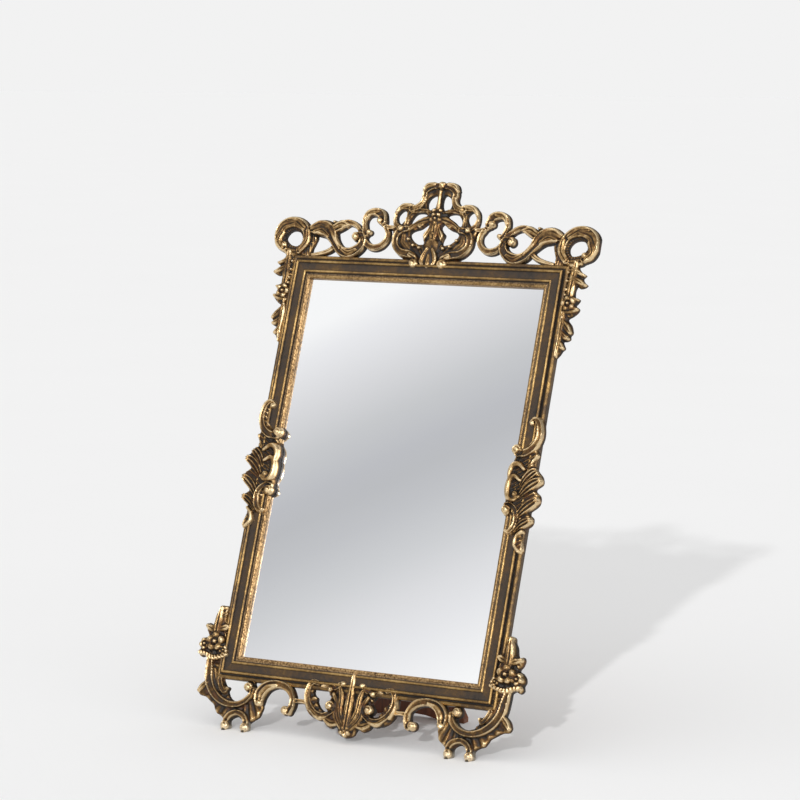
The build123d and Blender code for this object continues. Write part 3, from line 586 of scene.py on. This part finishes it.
both("stroke", [(-2.5, 213, 1.6), (-5.5, 207, 2.2), (-6.8, 200.5, 2.2), (-4.4, 196, 1.8)], 3.0, 7.0,
     "leaf", False)
r.stroke([(0, 206, 1.4), (0, 200, 2.0), (0, 195.4, 1.4)], 3.4, 7.2, "leaf", False)
both("stroke", [(-20, 206.5, 2.4), (-14.6, 203.4, 2.8), (-11.4, 197.5, 2.4)], 3.0, 8.0, "leaf")
both("hole", [(-5, 265.8), (-2.8, 262), (-3.2, 255), (-6, 251.2), (-11, 252), (-12.8, 257.5), (-10.5, 263)])
both("hole", [(-36.5, 250.2), (-32.2, 247.5), (-31.8, 242.5), (-36, 237.2), (-40.3, 239.5), (-41.3, 245)])
both("hole", [(-10.5, 246.2), (-16, 248), (-22.5, 246.8), (-26.6, 240.5), (-26.4, 236), (-22.5, 237.5),
              (-18.5, 240.8), (-13.5, 243.6)])
both("hole", [(-8, 238.0), (-5.6, 235), (-7.6, 231.3), (-11, 227.5), (-9.6, 222.5), (-9.8, 218.4),
              (-15, 217.9), (-22, 221.8), (-25.4, 227), (-22.5, 230.4), (-15.5, 232.8), (-12, 235.4)])
r.ball(0, 275, 4, 1.5, 5.4)
r.flower(0, 242.5, 6.8, 5, 2.0, 6.8, 0.3)
r.ball(-3.6, 250.4, 2.2, 2.4, 5.6)
r.ball(3.6, 250.4, 2.2, 2.4, 5.6)
r.ball(-14.8, 198, 5.0, 3.5, 8.6, curl=1)
r.ball(14.8, 198, 5.0, 3.5, 8.6, curl=-1)
r.ball(-35, 232, 3.4, 2.2, 6.2, curl=-1)
r.ball(35, 232, 3.4, 2.2, 6.2, curl=1)
for across, up in ((-25, 222), (-19, 216.2), (-12.5, 214), (25, 222), (19, 216.2), (12.5, 214),
                   (0, 214.5), (0, 207.5), (0, 221.5), (0, 228)):
    r.ball(across, up, 1.7, 3.0, 5.6)
r.mesh("carved_cartouche", "crest_cartouche")

# Leaf drop
r = Relief(-166, -138, 113, 212, FRAME_BACK)
drop = [(-146, 207), (-151.5, 207), (-152.5, 201), (-156, 197), (-160.5, 194.6), (-158, 191.3),
        (-160, 188), (-163.2, 185.5), (-160.5, 183), (-156.5, 182.2), (-153.6, 183.5), (-152.2, 180),
        (-152.4, 176), (-153.5, 173.4), (-158, 172), (-156.8, 168.6), (-155, 166), (-158.8, 163.4),
        (-158, 160), (-154, 156.2), (-149.7, 153), (-153.8, 148), (-155.6, 144), (-156.4, 140.5),
        (-154.6, 137.8), (-155, 134.8), (-152, 132.8), (-148.5, 132), (-151.4, 126.4), (-149.2, 123.8),
        (-147, 119.8), (-143.4, 116.5), (-142.4, 123), (-143, 132), (-142, 138), (-141.5, 146),
        (-143, 153), (-143.5, 157), (-140.8, 163), (-140.5, 171), (-142.5, 176), (-141.8, 181),
        (-141.5, 190), (-142, 199)]
r.web(drop, 2.6, slanted(-52, 3.0), 0.6)
r.stroke([(-150, 210, 2.4), (-149.5, 200, 3.6), (-149, 190, 4.2), (-148.5, 180, 4.4), (-148.5, 172, 3.4)],
         1.6, 6.0, "leaf", False)
for tips in ([(-148, 199, 2.6), (-153, 196.6, 2.6), (-159, 194.4, 1.8)],
             [(-148, 191, 2.6), (-154, 188.6, 3.0), (-161.5, 185.2, 1.8)],
             [(-147, 171, 2.6), (-152, 171.6, 2.4), (-156.6, 171.4, 1.4)],
             [(-147, 160, 2.8), (-152, 161, 3.2), (-157.5, 162.4, 1.8)],
             [(-146.5, 150, 2.4), (-150.5, 145, 3.4), (-154.8, 140.6, 2.0)],
             [(-146, 140, 2.2), (-149.5, 137, 3.0), (-153.6, 134.8, 1.6)],
             [(-145, 132, 2.2), (-147.5, 128, 3.0), (-150.2, 125.6, 1.4)],
             [(-144.5, 158, 2.6), (-145, 148, 3.4), (-145, 138, 3.0), (-144.6, 127, 2.6),
              (-144, 118.5, 1.4)]):
    r.stroke(tips, 2.0, 6.0, "leaf", False)
r.flower(-148.5, 167, 7.6, 5, 3.0, 7.6, outline=False)
for across, up in ((-143.8, 196), (-143.6, 188), (-143.8, 180), (-144.4, 154), (-144, 175)):
    r.ball(across, up, 1.5, 3.5, 6.2, False)
r.mesh("carved_drop_left", "leaf_drop_left", flip=True)

# Side rocaille
r = Relief(-156, -112, -67, 66, ROCAILLE_BACK)
shell = [(-135, 61), (-142, 61), (-145.4, 54), (-146.8, 42), (-143.4, 31.5), (-145.4, 26), (-142, 19),
         (-146.5, 12.5), (-151.5, 7.5), (-152.8, 1), (-147, -4.6), (-152.4, -10), (-152.4, -18),
         (-144.6, -25.6), (-149, -30), (-148.8, -36), (-142.6, -42), (-142.8, -50), (-144.8, -60),
         (-140.6, -63.6), (-134, -56), (-134.6, -47.6), (-130, -48), (-124.6, -46), (-125.4, -41.5),
         (-131, -36), (-127, -30.6), (-121.4, -30.4), (-118.6, -26.5), (-119.2, -18), (-118.4, -6),
         (-118.8, 6), (-118.8, 14), (-121, 20), (-121.8, 24), (-119, 29), (-120.8, 35), (-125.4, 36.5),
         (-129.5, 33), (-137.2, 42), (-136.5, 50), (-131.6, 55)]
r.web(shell, 6.6, slanted(58, 3.4), 0.7)
for lobe in ([(-147.2, 13, 2.6), (-142.5, 10, 4.8), (-137.5, 4.6, 4.4), (-134, -2, 2.4)],
             [(-150.6, 3.4, 3.4), (-145.4, 0.6, 5.4), (-139.4, -4.6, 4.8), (-133.6, -12.4, 2.4)],
             [(-150.4, -14.6, 3.6), (-145.2, -18.4, 5.4), (-139.6, -23.6, 4.6), (-134.4, -31, 2.4)],
             [(-147, -33, 3.2), (-142.6, -35.4, 4.6), (-138.4, -38.8, 3.6), (-134.6, -43.6, 1.8)]):
    r.stroke(lobe, 5.6, 10.2, "shell", False)
r.stroke([(-145, 26, 1.6), (-142.8, 20.6, 2.6), (-138.6, 15.4, 2.2)], 5.4, 9.2, "leaf", False)
r.stroke([(-132.6, 56, 1.8), (-137.4, 59, 2.4), (-142.2, 53.4, 3.0), (-143.6, 43, 3.2), (-139.8, 33.2, 3.6),
          (-132.6, 27.6, 4.2), (-125, 26.8, 4.0)], 5.2, 9.8)
r.ball(-134.2, 54.8, 2.9, 6.0, 9.6, curl=-1)
r.ball(-123.4, 30, 5.2, 6.4, 11.0, curl=1)
r.stroke([(-134.4, 12.6, 2.2), (-128.4, 17.2, 3.2), (-123, 15.6, 3.6), (-120.8, 9.4, 3.2),
          (-121.2, 2.4, 2.2)], 5.4, 10.0, "round")
r.stroke([(-132, 2.4, 2.0), (-126, 6.0, 3.0), (-122, 2.4, 3.6), (-120.9, -6, 3.6), (-123, -13, 3.6),
          (-128, -15.2, 3.0), (-132.8, -12.4, 2.2)], 5.4, 10.2, "round")
r.ball(-129, -10.6, 3.6, 6.2, 10.0, curl=-1)
r.stroke([(-122, -20.8, 3.2), (-126.4, -20.2, 2.8), (-131.8, -24.6, 2.8), (-134, -32, 2.8),
          (-132, -40.2, 2.8), (-128, -44.6, 2.4), (-125, -43.4, 1.6)], 5.0, 9.6)
r.ball(-122.6, -24.8, 4.8, 6.4, 10.8, curl=1)
r.stroke([(-141.6, -43, 2.2), (-137.2, -47.6, 2.4), (-136.2, -55, 2.6), (-141, -61, 2.4)], 4.8, 9.0, "round")
r.stroke([(-143, -44.6, 1.2), (-143.8, -52, 1.8), (-144, -59, 1.8)], 4.6, 8.0, "round", False)
r.mesh("carved_rocaille_left", "side_rocaille_left", flip=True, edge_drop=3.4, rounding=2.2, wall=0.45)

# Foot scroll
r = Relief(-164, -86, -254, -178, FRAME_BACK)
foot = [(-155.5, -182), (-155.3, -188), (-153.5, -197), (-151.3, -205), (-156, -210.5), (-160.6, -215.6),
        (-158.8, -219.6), (-152.5, -220.8), (-146.5, -224.5), (-142, -227.5), (-140.5, -230.5),
        (-137.5, -234.5), (-134, -235.8), (-129, -239.5), (-129.6, -245), (-128.4, -251), (-121.6, -251),
        (-120.4, -245), (-121, -239.5), (-114.6, -235.6), (-108.6, -239.5), (-109, -245), (-107.8, -251),
        (-101.2, -251), (-99.9, -245), (-100.5, -240.5), (-96, -236.6), (-92, -233.4), (-90.5, -229),
        (-89.5, -224.5), (-92, -219), (-99.7, -214), (-99.6, -209), (-102, -204.4), (-106, -199),
        (-140, -182)]
r.web(foot, 2.6, fan(-112, -196, 34), 0.8)
r.hole([(-134.8, -201), (-132.6, -208.4), (-129.4, -210.5), (-128.6, -215), (-124, -220.4), (-117, -221.4),
        (-110.3, -218.6), (-107.4, -213), (-110.5, -209.5), (-112, -201)])
r.stroke([(-153, -183, 3.0), (-151.5, -194, 4.2), (-149.5, -205, 4.6), (-143.5, -215, 4.4),
          (-133.5, -222.5, 3.9), (-122, -225.3, 3.3), (-111.5, -223, 3.2), (-104, -216.5, 3),
          (-102, -209.5, 2.6)], 2.2, 7.2)
r.ball(-107.2, -207.8, 4.8, 2.6, 8.2, curl=-1)
r.stroke([(-139, -203, 2.5), (-136.5, -209, 2.6), (-132.5, -214, 2.4), (-129.5, -211, 1.6)], 1.4, 5.6)
r.stroke([(-152, -208, 3), (-156, -212, 3.2), (-158.8, -215.8, 2.2)], 2.4, 6.6, "leaf")
r.stroke([(-147, -196, 3.2), (-143, -206, 3.0), (-137, -213, 2.2)], 2.4, 5.0, "leaf", False)
r.stroke([(-124.8, -250, 2.7), (-124.9, -244, 2.9), (-124.4, -239, 3), (-121, -234.3, 2.9),
          (-114.5, -231.8, 2.8), (-107.5, -234, 3), (-104, -239, 3), (-104.2, -244, 2.9),
          (-104.4, -250, 2.6)], 2.0, 6.6)
r.ball(-125, -244.8, 4.6, 3.0, 7.4, curl=1)
r.ball(-104.4, -244.6, 4.5, 3.0, 7.4, curl=-1)


def tip_tone(objects, low, high, strength):
    """Bare gesso at the tips of the feet."""
    for obj in objects:
        co = np.zeros(len(obj.data.vertices) * 3, np.float32)
        obj.data.vertices.foreach_get("co", co)
        z = co.reshape(-1, 3)[:, 2] * 1000
        x = co.reshape(-1, 3)[:, 0] * 1000
        bare = (1 - ease(z + 1.6 * np.sin(x * 1.7) + 0.8 * np.sin(x * 4.1 + z * 1.3), low, high)) * strength
        obj.data.attributes["tone"].data.foreach_set("value", bare.astype(np.float32))


feet = r.mesh("carved_foot_left", "foot_scroll_left", flip=True)
tip_tone(feet, 2.0, 8.0, 0.34)

# Corner flower
r = Relief(-170, -128, -191, -131, FRAME_BACK)
flower = [(-143, -137), (-147, -135.6), (-150.4, -137), (-151.5, -141), (-154, -145.5), (-155.5, -151.5),
          (-157.8, -154.5), (-161.2, -152.8), (-163, -156), (-162, -160.7), (-159.5, -165), (-163.2, -167.2),
          (-166.5, -171), (-167.2, -175), (-165.9, -178.2), (-166.6, -182.5), (-163.5, -185), (-159, -183.5),
          (-154, -186.8), (-148, -187.6), (-142, -185.5), (-137, -184.5), (-133.6, -181.8), (-132.8, -177.5),
          (-136.2, -172), (-138.2, -167), (-139.4, -160), (-136.8, -155), (-142.5, -148.5)]
r.web(flower, 5.0, fan(-149, -150, 30), 0.7)
r.stroke([(-149, -138, 2.6), (-149.5, -148, 4.3), (-150, -158, 4.6), (-149, -165, 4)], 4.6, 9.6, "leaf",
         False)
r.stroke([(-150, -160, 3), (-156, -158, 3.4), (-161, -156, 2.2)], 4.6, 8.8, "leaf", False)
r.stroke([(-146, -158, 3), (-141, -156, 3.2), (-137.4, -155, 1.4)], 4.6, 8.6, "leaf", False)
r.flower(-160, -173, 6.4, 5, 5.0, 9.4, 0.4, False)
r.flower(-139.4, -177, 4.8, 5, 5.0, 8.8, 0.2, False)
r.stroke([(-136, -181, 2.2), (-142, -183.4, 2.6), (-150, -184.6, 2.8), (-158, -182, 2.6),
          (-164.5, -180.5, 2.2)], 4.2, 8.4, "rope", False)
r.flower(-149, -170, 9.6, 5, 5.6, 11.0, 0.9, False)
r.mesh("carved_flower_left", "corner_flower_left", flip=True, edge_drop=3.2, rounding=2.2)

# Apron scroll
r = Relief(-101, -42, -232, -194, FRAME_BACK)
r.stroke([(-93.6, -220.5, 4.4), (-93.4, -212.5, 6.1), (-87.5, -205, 5.4), (-77, -201.9, 4),
          (-66.5, -204.3, 4), (-60, -211.5, 3), (-59, -219, 3.4), (-61.5, -225.4, 3.8)], 2.0, 7.0)
r.stroke([(-93, -217, 1.8), (-92, -211.5, 2.6), (-86.5, -205.4, 2.2), (-78, -203, 1.4)], 4.8, 7.2,
         "round", False)
r.ball(-65.2, -224.6, 4.6, 2.6, 8.0, curl=1)
r.ball(-92.8, -220.8, 3.6, 3.0, 7.6, curl=-1)
r.stroke([(-58, -215, 2.6), (-51, -214.4, 2.2), (-44.5, -215, 2.4)], 0.8, 5.4)
r.mesh("carved_apron_scroll_left", "apron_scroll_left", flip=True)

# Apron palmette, drawn whole
r = Relief(-50, 50, -244, -182, FRAME_BACK)
side = [(0, -184.5), (-3.4, -187.5), (-6.5, -192.5), (-13, -191.5), (-17.5, -195.5), (-22, -198.5),
        (-33, -198), (-36.5, -194), (-42, -194.2), (-46.8, -199.5), (-47.6, -212), (-44.6, -221.5),
        (-37.5, -227.4), (-30, -229.3), (-26, -228.4), (-22.5, -232.8), (-16.5, -235.4), (-11, -233.6),
        (-7.5, -239.5), (0, -242.3)]
r.web(side + [(-x, y) for x, y in side[-2:0:-1]], 3.2, fan(0, -184, 44), 0.9)
both("stroke", [(-35.5, -196.5, 2.6), (-40.5, -196, 2.8), (-44, -201, 2.9), (-44.3, -209, 3),
                (-40.5, -217.5, 3.2), (-33, -223.8, 3.2), (-24.5, -225, 3), (-17.5, -221, 2.8)], 2.0, 7.0)
both("stroke", [(-30, -199, 2.0), (-24, -197.6, 2.6), (-17, -199, 3.0), (-11.5, -195, 2.6)], 2.4, 7.4)
both("stroke", [(-3, -231, 2.2), (-8.5, -219, 3.4), (-9.5, -206, 3.2), (-12.5, -196.5, 2.2)], 3.0, 7.4,
     "leaf")
both("stroke", [(-5, -234, 2.2), (-12.5, -224, 3.4), (-13.6, -212, 3.0), (-18, -204, 1.8)], 2.8, 6.8, "leaf")
both("stroke", [(-44.5, -200, 2.0), (-46, -210, 2.6), (-41.5, -220, 2.2)], 2.4, 7.0, "leaf", False)
both("stroke", [(-38, -221.5, 2.0), (-30, -227, 2.8), (-22.5, -226.5, 2.0)], 2.6, 7.0, "leaf")
both("stroke", [(-22, -228, 3), (-16.5, -230.5, 3.6), (-11, -230.5, 2.6)], 2.4, 6.6, "leaf")
both("hole", [(-38.5, -201), (-39.6, -205), (-38, -208), (-34.8, -210), (-34.3, -213.5), (-31, -218),
              (-26.4, -220.8), (-22.5, -220.0), (-24.5, -216.5), (-23.4, -211.5), (-21.4, -208.5),
              (-23.7, -204.5), (-25.2, -201.2), (-31.5, -200.6)])
r.stroke([(0, -186, 2.0), (0, -198, 3.4), (0, -210, 4.6), (0, -222, 4.8), (0, -232, 4.0), (0, -239, 3.2)],
         3.0, 8.2, "leaf")
for hand in (-1, 1):
    r.ball(hand * 19.9, -215.6, 5.2, 3.0, 8.4, curl=hand)
    r.ball(hand * 21.6, -201, 3.2, 3.0, 7.6, curl=-hand)
    r.ball(hand * 9.6, -194.6, 3.0, 3.6, 7.8, curl=hand)
r.flower(0, -236.6, 5.6, 5, 3.4, 8.4, 0.3)
r.mesh("carved_palmette", "apron_palmette")

# Moulding: one section swept along the four mitred lengths
# Each point is (out, depth, shade). The shade is painted point by point and comes near black in the two quirks
# as painted shade.
section = [(0.0, 0.0, 0.5), (0.0, 1.3, 0.5), (0.0, 2.5, 0.5), (0.25, 3.35, 0.55), (0.8, 4.15, 0.62),
           (1.75, 4.6, 0.66), (2.7, 4.5, 0.55), (3.25, 4.2, 0.4), (3.5, 3.8, 0.14), (4.9, 3.8, 0.08),
           (4.95, 4.6, 0.2), (5.2, 5.3, 0.42), (5.7, 5.85, 0.58), (6.4, 6.1, 0.68), (7.1, 5.85, 0.6),
           (7.6, 5.3, 0.44), (7.85, 4.9, 0.3), (8.6, 4.9, 0.34), (10.2, 4.84, 0.32), (12.0, 4.84, 0.3),
           (13.4, 4.9, 0.26), (14.2, 4.9, 0.18), (14.35, 5.6, 0.4), (14.8, 6.3, 0.56), (15.7, 6.8, 0.66),
           (16.6, 6.3, 0.56), (17.05, 5.6, 0.4), (17.2, 4.6, 0.2), (17.25, 3.2, 0.06), (18.2, 3.2, 0.12),
           (18.5, 3.6, 0.36), (19.3, 4.1, 0.5), (20.2, 4.2, 0.52), (21.2, 3.8, 0.5), (21.8, 3.2, 0.48),
           (22.0, 2.9, 0.5), (22.0, 1.0, 0.4), (22.0, -1.5, 0.36), (22.0, -3.5, 0.3), (14.0, -3.5, 0.25),
           (5.5, -3.5, 0.25), (5.5, 0.0, 0.25)]
LIP_WIDTH = 3.6
ROWS = 90


def length_of_moulding(name, node, turn, sight, half):
    """One mitred length: the section swept along it, its face gently uneven from old carving."""
    s, w, shade = np.array(section).T[:, None, :]
    # The lip is painted lighter on the left stile and bottom rail than on the top rail and right stile. This
    # is painted light on the lips that face it, laid over the real speckled lip.
    lip = (s < LIP_WIDTH) * (w > 0.5) * (1.0 if turn in (90, 180) else 0.55)
    t = np.linspace(-1, 1, ROWS)[:, None]
    run = t * (half + s)
    wave = 0.06 * np.sin(run * 0.31 + turn) + 0.05 * np.sin(run * 0.83 + 2 * turn)
    out = sight + s
    depth = w + wave * (np.abs(t) < 0.995) * (w > 2.0)
    turned = radians(turn)
    across = run * cos(turned) - out * sin(turned)
    up = run * sin(turned) + out * cos(turned)
    points = world(across, up, depth).reshape(-1, 3)
    n = len(section)
    a = np.arange(ROWS - 1)[:, None] * n
    b = np.arange(n)[None, :]
    c = (b + 1) % n
    faces = np.stack((a + b, a + n + b, a + n + c, a + c), -1).reshape(-1, 4)
    grain = 0.06 * np.sin(run * 0.11 + turn * 3)
    obj = solid(name, node, points, faces[:, ::-1], (shade + grain).ravel(), (lip + 0 * t).ravel(), mould)
    bm = bmesh.new()
    bm.from_mesh(obj.data)
    bm.verts.ensure_lookup_table()
    for end in (0, ROWS - 1):
        ring = [bm.verts[end * n + k] for k in range(n)]
        bm.faces.new(ring if end else ring[::-1])
    bmesh.ops.recalc_face_normals(bm, faces=bm.faces)
    bm.to_mesh(obj.data)
    bm.free()


for name, node, turn, sight, half in (("moulding_top", "top_rail", 0, SIGHT_HEIGHT, SIGHT_WIDTH),
                                      ("moulding_left", "left_stile", 90, SIGHT_WIDTH, SIGHT_HEIGHT),
                                      ("moulding_bottom", "bottom_rail", 180, SIGHT_HEIGHT, SIGHT_WIDTH),
                                      ("moulding_right", "right_stile", 270, SIGHT_WIDTH, SIGHT_HEIGHT)):
    length_of_moulding(name, node, turn, sight / 2, half / 2)

# CAD nodes that stay take their materials
finishes = {"mitre_splines": pine, "crest_tongues": pine, "mirror_glass": glass, "backing_felt": felt,
            "backboard": pine, "backboard_nails": iron, "stop_block": mahogany, "hinge_fixed_leaf": brass,
            "hinge_pin": brass, "fixed_leaf_screws": brass, "strut": mahogany, "hinge_strut_leaf": brass,
            "strut_leaf_screws": brass}
for node, material in finishes.items():
    data = frame["nodes"][node].data
    data.materials.clear()
    data.materials.append(material)

# Table, backdrop and light
PAPER = 0.887


def paper():
    n = painted("paper")
    soft = n.noise(3, 3)
    colour = n.ramp(soft, (0.3, 0.896), (0.7, 0.902))
    return n.surface(n.add("ShaderNodeBsdfDiffuse", {"Color": colour}))


bpy.ops.mesh.primitive_grid_add(x_subdivisions=8, y_subdivisions=8, size=60, location=(0, 0, 0))
floor = bpy.context.object
floor.name = "floor"
floor.data.materials.append(paper())

AMBIENT = 0.83
REFLECTED_AMBIENT = 0.24
bpy.context.scene.world = bpy.data.worlds.new("studio")
sky = Nodes(bpy.context.scene.world, "ShaderNodeOutputWorld")


def background(strength):
    return sky.add("ShaderNodeBackground", {"Color": (1, 1, 1, 1), "Strength": strength}).outputs[0]


def softbox(way, wide, soft, strength):
    """A bright patch of the studio in one direction, seen only in reflections."""
    place = sky.add("ShaderNodeTexCoord").outputs["Generated"]
    dot = sky.add("ShaderNodeVectorMath", {0: place, 1: Vector(way).normalized()}, operation="DOT_PRODUCT")
    return sky.add("ShaderNodeMapRange", {"Value": dot.outputs["Value"], "To Max": strength,
                                          "From Min": cos(radians(wide + soft)),
                                          "From Max": cos(radians(wide))},
                   interpolation_type="SMOOTHSTEP").outputs[0]


def choose(share, a, b):
    return sky.add("ShaderNodeMixShader", {0: share, 1: a, 2: b}).outputs[0]


ray = sky.add("ShaderNodeLightPath").outputs
boxes = softbox((0.85, -0.45, 0.3), 14, 16, 3.6)
for way, wide, soft, strength in (((-0.6, -0.3, 0.75), 12, 18, 1.6), ((0.1, -0.5, 0.9), 8, 14, 1.2),
                                  ((-0.2, -0.9, -0.5), 25, 30, 0.25)):
    boxes = sky.maths("ADD", boxes, softbox(way, wide, soft, strength))
lit = choose(ray["Is Glossy Ray"], background(AMBIENT), background(sky.maths("ADD", boxes, REFLECTED_AMBIENT)))
sky.feed(sky.out.inputs["Surface"], choose(ray["Is Camera Ray"], lit, background(PAPER)))

window = bpy.data.objects.new("window", bpy.data.lights.new("window", "SUN"))
window.data.energy = 1.2
window.data.angle = radians(1.8)
window.rotation_euler = Vector((-0.2, 0.9, -0.42)).to_track_quat("-Z", "Y").to_euler()
bpy.context.collection.objects.link(window)

# Camera
TURN, DIP, FAR = radians(28.74), radians(6.89), 2671.0
ASIDE, ALOFT = 6.7, 67.7
LENS, SENSOR, PICTURE = 132.48, 36, 800
ahead = Vector((-sin(TURN) * cos(DIP), cos(TURN) * cos(DIP), -sin(DIP)))
right = Vector((cos(TURN), sin(TURN), 0))
above = right.cross(ahead)
eye = Vector(MIDDLE) - ahead * FAR + right * ASIDE + above * ALOFT
lens = bpy.data.cameras.new("camera")
lens.lens = LENS
lens.sensor_width = SENSOR
lens.clip_end = 200
camera = bpy.data.objects.new("camera", lens)
bpy.context.collection.objects.link(camera)
camera.matrix_world = Matrix.Translation(eye / 1000) @ Matrix((right, above, -ahead)).transposed().to_4x4()
bpy.context.scene.camera = camera

# A graded card that only reflections see, placed where the mirror looks from the camera
facing = Vector((0, -cos(LEAN), sin(LEAN)))


def reflected(way):
    return way - 2 * way.dot(facing) * facing


CARD_AWAY = FAR + 1200.0
CARD_WIDE, CARD_TALL = 1.1, 1.3
CARD_SLANT, CARD_START, CARD_GLOW = -2.1, 0.24, 1.04
behind = Vector(MIDDLE) + reflected(eye - Vector(MIDDLE))
card_middle = (behind + reflected(ahead) * CARD_AWAY) / 1000
card_right, card_up = reflected(right), reflected(above)
bpy.ops.mesh.primitive_plane_add(size=1)
card = bpy.context.object
card.name = "card"
card.matrix_world = (Matrix.Translation(card_middle)
                     @ Matrix((card_right, card_up, card_right.cross(card_up))).transposed().to_4x4()
                     @ Matrix.Diagonal((CARD_WIDE, CARD_TALL, 1.0, 1.0)))
for sight in ("visible_camera", "visible_diffuse", "visible_shadow", "visible_transmission"):
    setattr(card, sight, False)
n = painted("graded card")
spot = n.add("ShaderNodeSeparateXYZ", {"Vector": n.place()}).outputs
slope = n.maths("MULTIPLY_ADD", spot["Y"], CARD_SLANT * CARD_TALL, n.maths("MULTIPLY", spot["X"], CARD_WIDE))
fall = n.maths("MULTIPLY_ADD", slope, LENS / SENSOR * PICTURE / CARD_AWAY, CARD_START)
shade = n.ramp(fall, (0.0, (246, 246, 246)), (0.06, (233, 233, 235)), (0.17, (215, 215, 217)),
               (0.26, (199, 200, 202)), (0.35, (188, 189, 193)), (0.40, (187, 188, 191)),
               (0.47, (193, 194, 197)), (0.57, (206, 207, 209)), (0.66, (220, 220, 222)),
               (0.76, (231, 231, 233)), (0.9, (247, 247, 247)))
card.data.materials.append(n.surface(n.add("ShaderNodeEmission", {"Color": shade, "Strength": CARD_GLOW})))
bpy.context.scene.view_settings.view_transform = "Standard"
